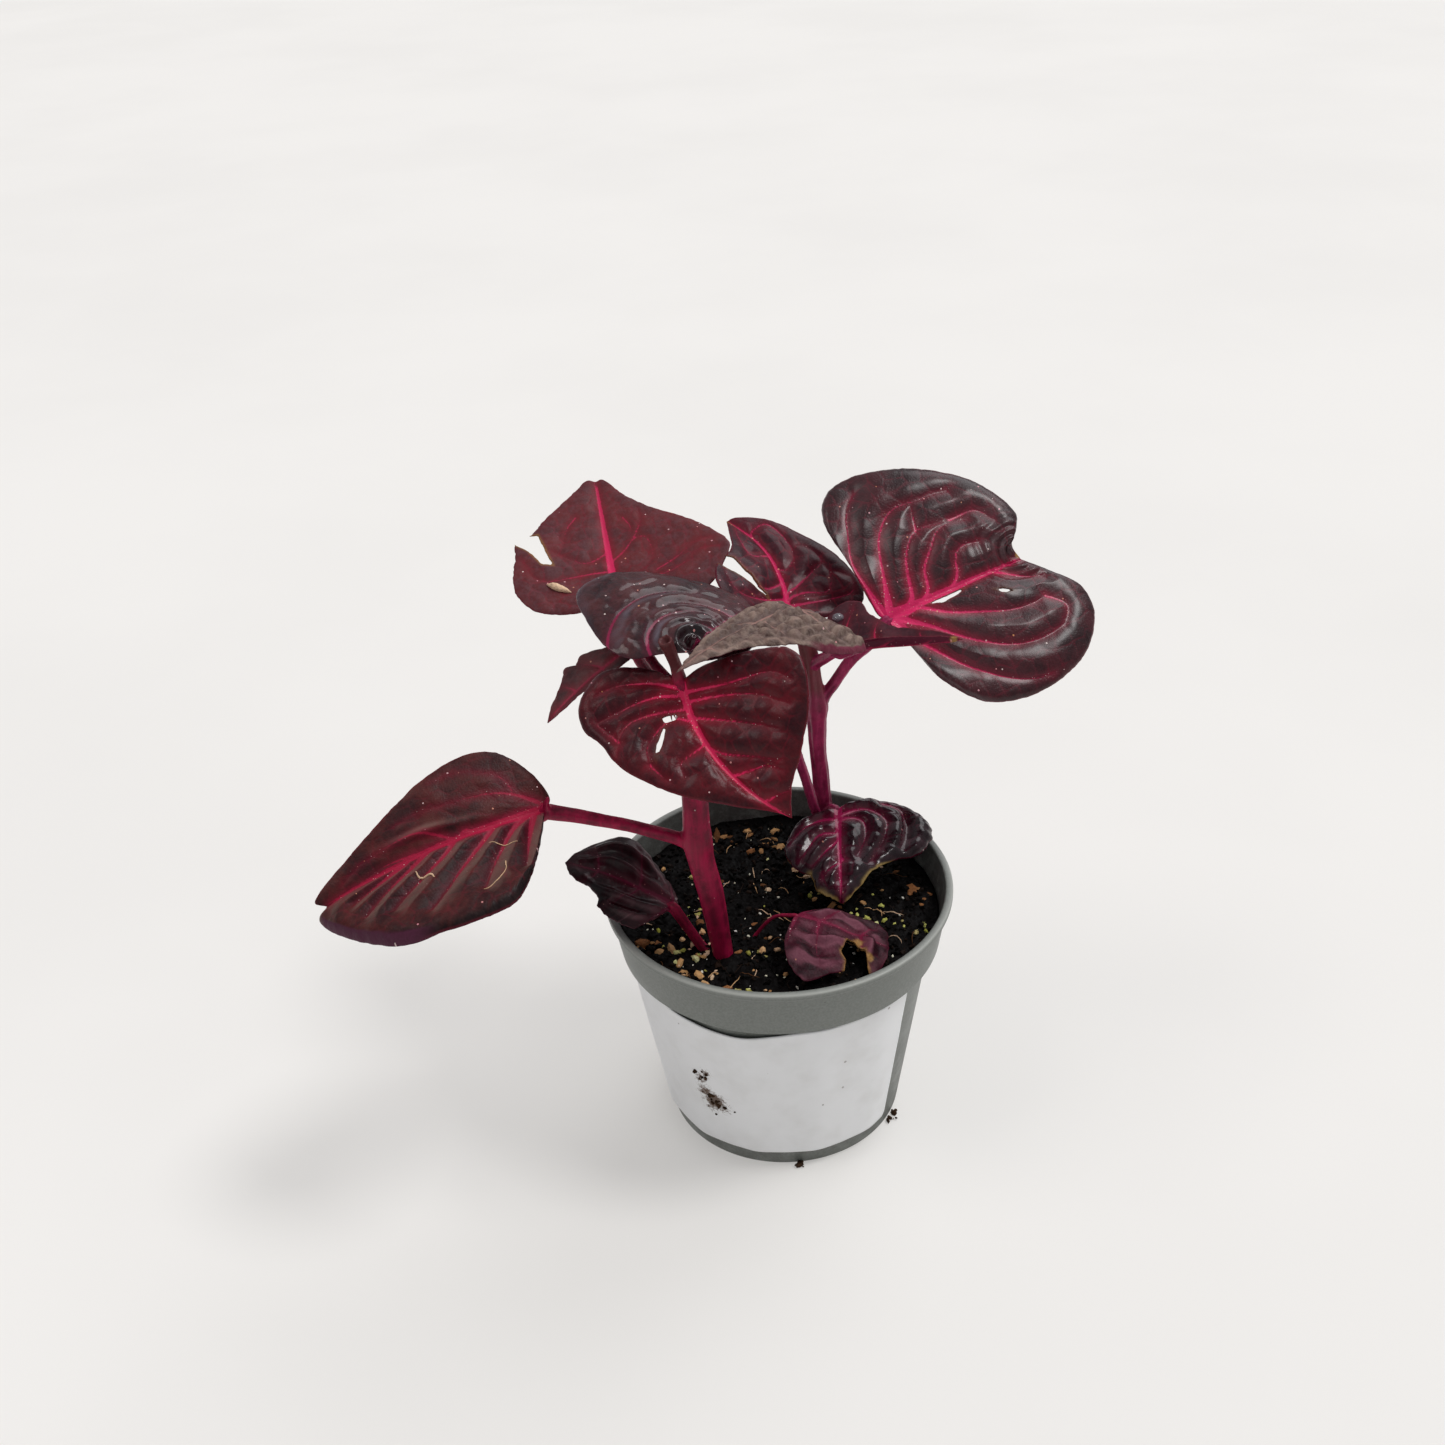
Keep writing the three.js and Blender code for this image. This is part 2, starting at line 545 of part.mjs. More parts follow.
// One puckered blade as a closed shell of even thickness, with its slits and tears cut out. Both faces
// split their quads along the same diagonals.
function makeBlade(leaf) {
  const axes = bladeAxes(leaf);
  const rows = 2 * leaf.veins;
  const halfThickness = BLADE.thickness / 2;
  const triangles = [];
  const margins = [leaf.left, leaf.right].map((outline) => marginCurve(outline, axes.length));
  const roots = rowRoots(leaf, axes.length, margins, rows);
  for (const margin of margins) {
    const isLeft = margin === margins[0];
    const at = (row, column, above) => {
      const [share, reach] = [row / rows, column / BLADE.columns];
      const { x, y } = flatPlace(leaf, axes.length, margin, roots[row], share, reach);
      const lift = reliefHeight(leaf, share, reach) + above * halfThickness;
      const onMidrib = column === 0 || row === 0 || row === rows;
      return bladePoint(leaf, axes, x, y, lift, onMidrib);
    };
    const quad = (a, b, c, d) => {
      if (isLeft) triangles.push([a, b, c], [a, c, d]);
      else triangles.push([c, b, a], [d, c, a]);
    };
    for (let row = 0; row < rows; row += 1) {
      const next = row + 1;
      for (let column = 0; column < BLADE.columns; column += 1) {
        const out = column + 1;
        quad(at(row, column, 1), at(next, column, 1), at(next, out, 1), at(row, out, 1));
        quad(at(row, column, -1), at(row, out, -1), at(next, out, -1), at(next, column, -1));
      }
      const edge = BLADE.columns;
      quad(at(row, edge, 1), at(next, edge, 1), at(next, edge, -1), at(row, edge, -1));
    }
  }
  let blade = solid(fromTriangles(triangles));
  for (const cut of leaf.cuts) blade = blade.subtract(makeCutter(leaf, axes, cut));
  return blade;
}

// Prism through the blade over a flat outline given anticlockwise or clockwise about its own middle
function makeCutter(leaf, axes, outline) {
  const area = outline.reduce((sum, [x, y], i) => {
    const [nextX, nextY] = outline[(i + 1) % outline.length];
    return sum + x * nextY - nextX * y;
  }, 0);
  const loop = area > 0 ? outline : [...outline].reverse();
  const middle = [0, 1].map((axis) => loop.reduce((sum, point) => sum + point[axis], 0) / loop.length);
  const top = ([x, y]) => bladePoint(leaf, axes, x, y, BLADE.cutDepth);
  const bottom = ([x, y]) => bladePoint(leaf, axes, x, y, -BLADE.cutDepth);
  const triangles = loop.flatMap((point, i) => {
    const next = loop[(i + 1) % loop.length];
    return [
      [top(middle), top(point), top(next)],
      [bottom(middle), bottom(next), bottom(point)],
      [bottom(point), bottom(next), top(next)],
      [bottom(point), top(next), top(point)],
    ];
  });
  return solid(fromTriangles(triangles));
}

const finish = {
  pot: { color: 0x7f8a85, roughness: 0.5 },
  label: { color: 0xf1f0ec, roughness: 0.7 },
  soil: { color: 0x1d1613, roughness: 0.95 },
  stem: { color: 0x8d1745, roughness: 0.45 },
  leaf: { color: 0x3f0f1d, roughness: 0.35 },
};

const plant = new THREE.Group();

function place(name, manifold, look) {
  const mesh = new THREE.Mesh(surface(manifold), new THREE.MeshStandardMaterial({ ...look, metalness: 0 }));
  mesh.name = name;
  plant.add(mesh);
}

const stemRoom = makeStem(LEFT_STEM, LEFT_STALKS, GAP).add(makeStem(RIGHT_STEM, RIGHT_STALKS, GAP));

place('pot', makePot(), finish.pot);
place('label', makeLabel(), finish.label);
place('soil', makeSoil().subtract(stemRoom), finish.soil);
place('left_stem', makeStem(LEFT_STEM, LEFT_STALKS), finish.stem);
place('right_stem', makeStem(RIGHT_STEM, RIGHT_STALKS), finish.stem);
for (const [name, leaf] of Object.entries(LEAVES)) {
  place(name, largestBody(makeBlade(leaf).subtract(stemRoom)), finish.leaf);
}

export default plant;
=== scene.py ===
"""A young bloodleaf plant in a small nursery pot, dressed for rendering.

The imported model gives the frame, and every piece here stands for one of its nodes or rides beside
them. Sizes are millimetres, Z up, with the origin at the centre of the pot's base, and become metres
where a mesh is written.
"""

from __future__ import annotations

import logging
import math
from dataclasses import dataclass, field
from enum import Enum

import bpy
import numpy as np
from mathutils import Matrix

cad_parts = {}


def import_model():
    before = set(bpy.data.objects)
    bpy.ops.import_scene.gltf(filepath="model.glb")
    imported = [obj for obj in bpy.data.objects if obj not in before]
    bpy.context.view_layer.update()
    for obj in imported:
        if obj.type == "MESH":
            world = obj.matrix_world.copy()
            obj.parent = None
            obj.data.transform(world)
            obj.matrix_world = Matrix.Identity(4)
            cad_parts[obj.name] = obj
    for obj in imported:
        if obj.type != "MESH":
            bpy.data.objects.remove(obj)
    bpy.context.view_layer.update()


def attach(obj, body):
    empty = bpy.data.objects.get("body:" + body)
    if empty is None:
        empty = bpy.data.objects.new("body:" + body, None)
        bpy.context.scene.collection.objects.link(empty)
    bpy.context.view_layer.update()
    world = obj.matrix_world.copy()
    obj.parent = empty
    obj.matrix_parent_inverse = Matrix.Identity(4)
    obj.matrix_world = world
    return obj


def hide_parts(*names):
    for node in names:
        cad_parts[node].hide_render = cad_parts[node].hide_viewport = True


LOG = logging.getLogger("potted_bloodleaf")
METRES = 0.001
BODY = "root"
# The bits kept while a cell's numbers are mixed, and the odd factors that mix them.
WORD = 0xFFFFFFFF
MIXERS = (2654435761, 2246822519, 3266489917)
# Least turn of an arc, in radians.
STRAIGHT = 1e-4
Array = np.ndarray
Colour = Place = tuple[float, float, float]
Line = tuple[tuple[float, float], ...]
Rows = tuple[tuple[float, ...], ...]
Material = bpy.types.Material
Node = bpy.types.Node
Object = bpy.types.Object
Socket = bpy.types.NodeSocket
Tree = bpy.types.NodeTree


def srgb(red: int, green: int, blue: int) -> Colour:
    """Linear colour of an sRGB colour.

    A share up to 0.04045 is divided by 12.92, and a greater one plus 0.055, over 1.055, is raised to
    the power of 2.4.

    Args:
        red: Red, from 0 to 255.
        green: Green, from 0 to 255.
        blue: Blue, from 0 to 255.

    Returns:
        The linear colour.
    """
    shares = np.array([red, green, blue]) / 255
    linear = np.where(shares <= 0.04045, shares / 12.92, ((shares + 0.055) / 1.055) ** 2.4)
    return tuple(float(value) for value in linear)


def unit(vectors: Array) -> Array:
    """Vectors divided by their lengths."""
    return vectors / np.maximum(np.linalg.norm(vectors, axis=-1, keepdims=True), 1e-9)


def lengths(vectors: Array) -> Array:
    """Lengths of vectors in the last axis."""
    return np.linalg.norm(vectors, axis=-1)


def bell(distance: Array, width: Array | float) -> Array:
    """Bell curve: the exponential of less the square of the distance over the width."""
    return np.exp(-(distance / width) ** 2)


def around(radius: Array | float, angle: Array | float, height: Array | float) -> Array:
    """Points at angles round Z, from the front towards the right, one row each."""
    return np.column_stack(np.broadcast_arrays(radius * np.sin(angle), -radius * np.cos(angle), height))


def smoothstep(low: float, high: float, values: Array) -> Array:
    """Share from 0 at low to 1 at high, with soft ends: 3t squared less 2t cubed."""
    share = np.clip((values - low) / (high - low), 0, 1)
    return share * share * (3 - 2 * share)


def spline(knots: Array, shares: Array) -> Array:
    """Points on a smooth curve through knots.

    The curve is the uniform Catmull-Rom cubic: the slope at each knot is half the step from the knot
    before it to the knot after it, and the end steps are repeated past the ends.

    Args:
        knots: The points that the curve passes through, one row each.
        shares: Places along the curve, 0 at the first knot and 1 at the last.

    Returns:
        One point for each share.
    """
    knots = np.asarray(knots, float)
    padded = np.vstack([2 * knots[0] - knots[1], knots, 2 * knots[-1] - knots[-2]])
    place = np.clip(np.asarray(shares, float), 0, 1) * (len(knots) - 1)
    index = np.minimum(place.astype(int), len(knots) - 2)
    t = (place - index)[:, None]
    before, start, end, after = (padded[index + step] for step in range(4))
    linear = end - before
    square = 2 * before - 5 * start + 4 * end - after
    cube = 3 * start - before - 3 * end + after
    return start + 0.5 * t * (linear + t * (square + t * cube))


def lattice(cells: Array, seed: int) -> Array:
    """Repeatable random number from 0 to 1 for each whole-numbered cell, by mixing its bits.

    Args:
        cells: Whole-numbered cells, one row each.
        seed: Number that chooses the pattern.

    Returns:
        One number for each cell.
    """
    mixed = np.full(len(cells), (seed * MIXERS[0] + 97) & WORD, np.uint64)
    for axis in range(cells.shape[1]):
        steps = cells[:, axis].astype(np.int64) & WORD
        mixed = ((mixed ^ steps.astype(np.uint64)) * np.uint64(MIXERS[1])) & np.uint64(WORD)
        mixed = mixed ^ (mixed >> np.uint64(15))
    mixed = (mixed * np.uint64(MIXERS[2])) & np.uint64(WORD)
    top = WORD >> 8
    return ((mixed ^ (mixed >> np.uint64(13))) & np.uint64(top)).astype(float) / top


def noise(points: Array, size: float, seed: int, octaves: int = 1) -> Array:
    """Smooth random field from -1 to 1.

    Random numbers at each cell's corners are blended with soft weights, and each octave adds the
    same at half the size and half the strength.

    Args:
        points: Places in two or three dimensions, one row each.
        size: Size of a lattice cell.
        seed: Number that chooses the field.
        octaves: How many sizes are added.

    Returns:
        The field's value at each place.
    """
    total = np.zeros(len(points))
    weight = 0.0
    for octave in range(octaves):
        scaled = points * (2**octave / size)
        corner = np.floor(scaled)
        part = scaled - corner
        part = part * part * (3 - 2 * part)
        value = np.zeros(len(points))
        for bits in range(2 ** points.shape[1]):
            step = np.array([(bits >> axis) & 1 for axis in range(points.shape[1])])
            share = np.prod(np.where(step, part, 1 - part), axis=1)
            value += share * lattice(corner + step, seed + 31 * octave)
        total += (2 * value - 1) * 0.5**octave
        weight += 0.5**octave
    return total / weight


def cell_gap(points: Array, size: float, seed: int) -> Array:
    """Distance to the nearest seam of a crazed pattern, in the points' own units.

    Each cell of a square lattice holds one point at random, and half the difference between the
    distances to the nearest and the second nearest is the distance to the seam between them.

    Args:
        points: Flat places, one row each.
        size: Size of a lattice cell.
        seed: Number that chooses the pattern.

    Returns:
        Distance to the seam at each place.
    """
    scaled = points / size
    corner = np.floor(scaled)
    nearest = np.full(len(points), 9.0)
    second = np.full(len(points), 9.0)
    for step_x in (-1, 0, 1):
        for step_y in (-1, 0, 1):
            cell = corner + (step_x, step_y)
            jitter = np.column_stack([lattice(cell, seed), lattice(cell, seed + 7)])
            distance = lengths(cell + 0.15 + 0.7 * jitter - scaled)
            second = np.minimum(second, np.maximum(nearest, distance))
            nearest = np.minimum(nearest, distance)
    return 0.5 * (second - nearest) * size


def line_distance(points: Array, line: Array) -> tuple[Array, Array]:
    """Distance from points to a chain of straight steps, and the share along it of the nearest place.

    Args:
        points: Places, one row each.
        line: The chain's corners, one row each.

    Returns:
        The distances, and the shares from 0 at its start to 1 at its end.
    """
    steps = np.diff(line, axis=0)
    sizes = lengths(steps)
    before = np.concatenate([[0], np.cumsum(sizes)])
    best = np.full(len(points), np.inf)
    along = np.zeros(len(points))
    for index, step in enumerate(steps):
        offset = points - line[index]
        share = np.clip(offset @ step / max(sizes[index] ** 2, 1e-12), 0, 1)
        distance = lengths(offset - share[:, None] * step)
        nearer = distance < best
        best = np.where(nearer, distance, best)
        along = np.where(nearer, before[index] + share * sizes[index], along)
    return best, along / before[-1]


def outline_depth(points: Array, loop: Array) -> tuple[Array, Array]:
    """How deep flat points lie inside a closed outline, and their nearest places on it.

    A point is inside where a ray from it towards +X crosses the outline an odd number of times.

    Args:
        points: Flat places, one row each.
        loop: The outline's corners, one row each.

    Returns:
        The depth, positive inside and negative outside, and the nearest place on the outline.
    """
    best = np.full(len(points), np.inf)
    nearest = np.zeros_like(points)
    inside = np.zeros(len(points), bool)
    for start, end in zip(loop, np.roll(loop, -1, axis=0)):
        step = end - start
        share = np.clip((points - start) @ step / max(step @ step, 1e-12), 0, 1)
        place = start + share[:, None] * step
        distance = lengths(points - place)
        nearer = distance < best
        best = np.where(nearer, distance, best)
        nearest = np.where(nearer[:, None], place, nearest)
        if start[1] != end[1]:
            crossing = start[0] + (points[:, 1] - start[1]) / step[1] * step[0]
            spans = (start[1] > points[:, 1]) != (end[1] > points[:, 1])
            inside ^= spans & (points[:, 0] < crossing)
    return np.where(inside, best, -best), nearest


@dataclass
class Skin:
    """Points and faces of one piece, in millimetres, with its flat coordinates and named values."""

    points: Array
    faces: list[Array]
    flat: Array | None = None
    values: dict[str, Array] = field(default_factory=dict)

    def outward(self) -> Skin:
        """This skin with its faces turned out: the volume under its triangles is made positive.

        Returns:
            This skin.
        """
        corners = np.vstack([self.points[face[:, [0, k, k + 1]]].reshape(-1, 9)
                             for face in self.faces for k in range(1, face.shape[1] - 1)])
        a, b, c = corners[:, :3], corners[:, 3:6], corners[:, 6:]
        if np.einsum("ij,ij->", a, np.cross(b, c)) < 0:
            self.faces = [face[:, ::-1] for face in self.faces]
        return self

    def build(self, name: str, smooth: bool = True) -> Object:
        """A mesh object at the origin with this skin's points, in metres.

        Args:
            name: The piece's name.
            smooth: Whether its faces are shaded smooth.

        Returns:
            The new object, linked to the scene.
        """
        mesh = bpy.data.meshes.new(name)
        loops = np.concatenate([face.ravel() for face in self.faces]).astype(np.int32)
        counts = np.concatenate([np.full(len(face), face.shape[1]) for face in self.faces])
        mesh.vertices.add(len(self.points))
        mesh.vertices.foreach_set("co", (self.points * METRES).astype(np.float32).ravel())
        mesh.loops.add(len(loops))
        mesh.loops.foreach_set("vertex_index", loops)
        mesh.polygons.add(len(counts))
        starts = np.concatenate([[0], np.cumsum(counts)[:-1]]).astype(np.int32)
        mesh.polygons.foreach_set("loop_start", starts)
        mesh.polygons.foreach_set("use_smooth", np.full(len(counts), smooth))
        mesh.update(calc_edges=True)
        if self.flat is not None:
            layer = mesh.uv_layers.new(name="flat")
            layer.data.foreach_set("uv", self.flat[loops].astype(np.float32).ravel())
        for label, value in self.values.items():
            attribute = mesh.attributes.new(label, "FLOAT", "POINT")
            attribute.data.foreach_set("value", value.astype(np.float32))
        mesh.validate()
        piece = bpy.data.objects.new(name, mesh)
        bpy.context.scene.collection.objects.link(piece)
        return piece


def grid_faces(rows: int, columns: int, wrap: bool = False) -> Array:
    """Four-cornered faces of a grid of points stored row by row.

    Args:
        rows: Number of rows of points.
        columns: Number of points in a row.
        wrap: Whether the last column joins the first.

    Returns:
        Corner numbers, one face a row.
    """
    across = columns if wrap else columns - 1
    row, column = np.meshgrid(np.arange(rows - 1), np.arange(across), indexing="ij")
    here = (row * columns + column).ravel()
    right = (row * columns + (column + 1) % columns).ravel()
    return np.column_stack([here, right, right + columns, here + columns])


def capped(rings: Array, ends: Array) -> Skin:
    """Closed skin of rings of points, with a fan of triangles from each end ring to an end point.

    Args:
        rings: Points as rings by points by three.
        ends: The two end points, one row each.

    Returns:
        The skin, its faces turned out.
    """
    count, sides = rings.shape[:2]
    here = np.arange(sides)
    after = (here + 1) % sides
    first, last = np.full(sides, count * sides), (count - 1) * sides
    fans = np.vstack([np.column_stack([first, after, here]),
                      np.column_stack([first + 1, last + here, last + after])])
    points = np.vstack([rings.reshape(-1, 3), ends])
    return Skin(points, [grid_faces(count, sides, True), fans]).outward()


def revolve(profile: Array, sides: int) -> Skin:
    """Closed skin of a profile turned about Z.

    Each ring holds the profile's radius times the cosine and sine of evenly spaced angles.

    Args:
        profile: Radius and height pairs from axis to axis.
        sides: Number of points round a ring.

    Returns:
        The turned skin.
    """
    angles = 2 * math.pi * np.arange(sides) / sides
    rings = profile[1:-1]
    ring = np.column_stack([np.cos(angles), np.sin(angles)])
    points = np.concatenate([rings[:, None, :1] * ring[None], np.repeat(rings[:, None, 1:], sides, 1)], 2)
    return capped(points, np.column_stack([np.zeros((2, 2)), profile[[0, -1], 1]]))


def tube(line: Array, radii: Array, sides: int) -> Skin:
    """Closed tube along a line of points, each ring square to the line.

    Side directions are carried from ring to ring by removing the part along the line, so the tube
    doesn't twist, and each ring holds the radius times cosine and sine of evenly spaced angles.

    Args:
        line: Middle points, one row each.
        radii: Radius at each point.
        sides: Number of points round a ring.

    Returns:
        The tube, closed at both ends.
    """
    tangents = unit(np.gradient(line, axis=0))
    side = np.cross(tangents[0], (0.31, 0.17, 0.94))
    carried = []
    for tangent in tangents:
        side = unit(side - (side @ tangent) * tangent)
        carried.append(side)
    first = np.array(carried)
    second = np.cross(tangents, first)
    angles = 2 * math.pi * np.arange(sides) / sides
    offsets = first[:, None] * np.cos(angles)[None, :, None] + second[:, None] * np.sin(angles)[None, :, None]
    return capped(line[:, None] + radii[:, None, None] * offsets, line[[0, -1]])


def joined(skins: list[Skin]) -> Skin:
    """Several skins as one, each still closed.

    Args:
        skins: The closed skins.

    Returns:
        One skin.
    """
    starts = np.cumsum([0] + [len(skin.points) for skin in skins])
    faces = [face + start for skin, start in zip(skins, starts) for face in skin.faces]
    values = {name: np.concatenate([skin.values[name] for skin in skins]) for name in skins[0].values}
    return Skin(np.vstack([skin.points for skin in skins]), faces, None, values)


def finished(piece: Object) -> Object:
    """The piece with its modifiers worked out and written into its mesh.

    Args:
        piece: A piece with modifiers.

    Returns:
        The same piece.
    """
    graph = bpy.context.evaluated_depsgraph_get()
    mesh = bpy.data.meshes.new_from_object(piece.evaluated_get(graph))
    old = piece.data
    piece.modifiers.clear()
    piece.data = mesh
    bpy.data.meshes.remove(old)
    return piece


def vectors(members: bpy.types.bpy_prop_collection, label: str) -> Array:
    """Three numbers that each member of a mesh's list holds under a name, one row each.

    Args:
        members: The mesh's vertices or their normals.
        label: Name of the numbers.

    Returns:
        The numbers, one row for each member.
    """
    flat = np.empty(3 * len(members), np.float32)
    members.foreach_get(label, flat)
    return flat.reshape(-1, 3).astype(float)


def set_value(piece: Object, label: str, value: Array) -> None:
    """Write one named value for each vertex of a piece."""
    attribute = piece.data.attributes.new(label, "FLOAT", "POINT")
    attribute.data.foreach_set("value", value.astype(np.float32))


def place(piece: Object, material: Material, slot: str, *nodes: str) -> Object:
    """Give a piece its material, let it ride on the plant's body, stand it for nodes, and log its slot.

    Args:
        piece: The finished piece.
        material: Its material.
        slot: The record's material slot that it takes its finish from, which is only logged.
        nodes: Names of the nodes that it replaces.

    Returns:
        The same piece.
    """
    piece.data.materials.append(material)
    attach(piece, BODY)
    if nodes:
        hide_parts(*nodes)
    LOG.info("%s: %d faces, slot %s, for %s", piece.name, len(piece.data.polygons), slot, nodes or "no node")
    return piece


class Shades:
    """Places and links shader nodes in one node tree."""

    def __init__(self, tree: Tree) -> None:
        """Keep the tree that nodes go into."""
        self.tree = tree

    def filled(self, made: Node, inputs: dict[str | int, object]) -> Node:
        """The node with its inputs linked to sockets, or set to values.

        Args:
            made: The node to fill.
            inputs: Values or sockets, by name or number.

        Returns:
            The same node.
        """
        for label, value in inputs.items():
            if isinstance(value, Socket):
                self.tree.links.new(value, made.inputs[label])
            elif made.inputs[label].type == "RGBA":
                made.inputs[label].default_value = (*value, 1)
            else:
                made.inputs[label].default_value = value
        return made

    def node(self, kind: str, inputs: dict[str | int, object] | None = None, **settings: object) -> Node:
        """A new node.

        Args:
            kind: The node's type without its leading word, such as TexNoise.
            inputs: Values or sockets for its inputs, by name or number.
            settings: Other properties of the node.

        Returns:
            The node.
        """
        made = self.tree.nodes.new("ShaderNode" + kind)
        for label, value in settings.items():
            setattr(made, label, value)
        return self.filled(made, inputs or {})

    def math(self, operation: str, *values: object) -> Socket:
        """Result of one sum on values or sockets."""
        return self.node("Math", dict(enumerate(values)), operation=operation).outputs[0]

    def times(self, first: object, second: object) -> Socket:
        """Product of two values."""
        return self.math("MULTIPLY", first, second)

    def plus(self, first: object, second: object) -> Socket:
        """Sum of two values."""
        return self.math("ADD", first, second)

    def span(self, value: object, low: float, high: float, start: float = 0, end: float = 1) -> Socket:
        """Value mapped from low and high to start and end, held there, with soft ends."""
        inputs = {"Value": value, "From Min": low, "From Max": high, "To Min": start, "To Max": end}
        return self.node("MapRange", inputs, interpolation_type="SMOOTHSTEP").outputs[0]

    def mix(self, share: object, first: object, second: object) -> Socket:
        """Colour between two colours."""
        return self.node("Mix", {0: share, 6: first, 7: second}, data_type="RGBA").outputs[2]

    def noise(self, vector: Socket, scale: object, detail: float = 3, roughness: float = 0.55) -> Socket:
        """Smooth random value from 0 to 1."""
        inputs = {"Vector": vector, "Scale": scale, "Detail": detail, "Roughness": roughness}
        return self.node("TexNoise", inputs).outputs[0]

    def ramp(self, value: Socket, stops: tuple[tuple[float, Colour], ...]) -> Socket:
        """Colour from a row of colours, each at its own value from 0 to 1.

        Args:
            value: Value that picks the colour.
            stops: Each colour with its value, in rising order.

        Returns:
            The colour.
        """
        node = self.node("ValToRGB", {0: value})
        row = node.color_ramp.elements
        row[0].color, row[1].color = (*stops[0][1], 1), (*stops[-1][1], 1)
        for share, colour in stops[1:-1]:
            row.new(share).color = (*colour, 1)
        return node.outputs[0]

    def attribute(self, label: str) -> Socket:
        """One named value of the mesh."""
        return self.node("Attribute", attribute_name=label).outputs["Fac"]

    def spot(self) -> Socket:
        """Object coordinates."""
        return self.node("TexCoord").outputs["Object"]

    def flat(self) -> Socket:
        """The mesh's own flat coordinates, in millimetres."""
        return self.node("UVMap", uv_map="flat").outputs[0]

    def stretched(self, vector: Socket, scale: Colour) -> Socket:
        """Coordinates scaled by a different amount along each axis."""
        return self.node("Mapping", {"Vector": vector, "Scale": scale}).outputs[0]

    def bump(self, height: Socket, strength: float, distance: float) -> Socket:
        """Normal of a surface with a relief that is at most a distance in metres."""
        return self.node("Bump", {"Strength": strength, "Distance": distance, "Height": height}).outputs[0]

    def group(self, tree: Tree, inputs: dict[str, object]) -> Node:
        """A shared group placed with its own values.

        Args:
            tree: The shared group.
            inputs: Values or sockets for its inputs.

        Returns:
            The placed group.
        """
        made = self.tree.nodes.new("ShaderNodeGroup")
        made.node_tree = tree
        return self.filled(made, inputs)

    def grain(self, groups: Groups, vector: Socket, scale: float, cells: float) -> Socket:
        """Height of fine skin relief, with its share of cells."""
        return self.group(groups.grain, {"Vector": vector, "Scale": scale, "Cells": cells}).outputs[0]

    def mottled(self, groups: Groups, vector: Socket, scale: float, first: Colour, second: Colour) -> Socket:
        """Uneven colour between two colours."""
        inputs = {"Vector": vector, "Scale": scale, "First": first, "Second": second}
        return self.group(groups.mottle, inputs).outputs[0]

    def speckled(self, groups: Groups, under: Socket, vector: Socket, sizes: tuple[float, float, float],
                 strength: object, colour: Colour | None = None) -> Socket:
        """Scattered specks over a colour.

        Args:
            groups: The shared groups.
            under: The colour that they lie on.
            vector: Coordinates.
            sizes: Cells in a unit of length, share of them with a speck, and its share of the cell.
            strength: How much of the colour below a speck hides.
            colour: The specks' colour, or their own pale and warm tones.

        Returns:
            The colour with its specks.
        """
        scale, share, size = sizes
        made = self.group(groups.specks, {"Vector": vector, "Scale": scale, "Share": share, "Size": size})
        return self.mix(self.times(made.outputs["Mask"], strength), under, colour or made.outputs["Colour"])


class Kind(Enum):
    """Kinds of socket that a shared group has."""

    VALUE = "NodeSocketFloat"
    COLOUR = "NodeSocketColor"
    VECTOR = "NodeSocketVector"


def shared_group(name: str, inputs: dict[str, Kind], outputs: dict[str, Kind]) -> tuple[Shades, Node, Node]:
    """An empty node group with named sockets.

    Args:
        name: The group's name.
        inputs: Its input sockets by name.
        outputs: Its output sockets by name.

    Returns:
        A helper that fills the group, and its input and output nodes.
    """
    tree = bpy.data.node_groups.new(name, "ShaderNodeTree")
    for way, sockets in (("INPUT", inputs), ("OUTPUT", outputs)):
        for label, kind in sockets.items():
            tree.interface.new_socket(label, in_out=way, socket_type=kind.value)
    return Shades(tree), tree.nodes.new("NodeGroupInput"), tree.nodes.new("NodeGroupOutput")


def speck_group() -> Tree:
    """Small scattered specks, in a few pale and warm tones.

    A crazed pattern puts one cell to each speck. A speck shows where its cell's own random number is
    under the share that is asked for, and its size is a share of the cell by another random number.

    Returns:
        The group.
    """
    shades, start, end = shared_group(
        "scattered_specks", {"Vector": Kind.VECTOR, **dict.fromkeys(("Scale", "Share", "Size"), Kind.VALUE)},
        {"Mask": Kind.VALUE, "Colour": Kind.COLOUR})
    vector, scale, share, size = start.outputs[:4]
    cells = shades.node("TexVoronoi", {"Vector": vector, "Scale": scale, "Randomness": 1.0}, feature="F1")
    parts = shades.node("SeparateColor", {0: cells.outputs["Color"]}).outputs
    chosen = shades.math("LESS_THAN", parts[0], share)
    reach = shades.times(size, shades.plus(parts[2], 0.35))
    inner = shades.math("LESS_THAN", cells.outputs["Distance"], reach)
    tones = ((0.0, srgb(232, 222, 214)), (0.6, srgb(225, 150, 165)), (1.0, srgb(214, 150, 96)))
    shades.filled(end, {"Mask": shades.times(chosen, inner), "Colour": shades.ramp(parts[1], tones)})
    return shades.tree


def grain_group() -> Tree:
    """Fine skin relief: a cellular pattern over a soft one, as a height from 0 to 1.

    Returns:
        The group.
    """
    shades, start, end = shared_group(
        "fine_grain", {"Vector": Kind.VECTOR, "Scale": Kind.VALUE, "Cells": Kind.VALUE},
        {"Height": Kind.VALUE})
    vector, scale, share = start.outputs[:3]
    cells = shades.node("TexVoronoi", {"Vector": vector, "Scale": scale}, feature="SMOOTH_F1")
    inputs = {0: share, 2: shades.noise(vector, scale, 4), 3: cells.outputs["Distance"]}
    shades.filled(end, {"Height": shades.node("Mix", inputs).outputs[0]})
    return shades.tree


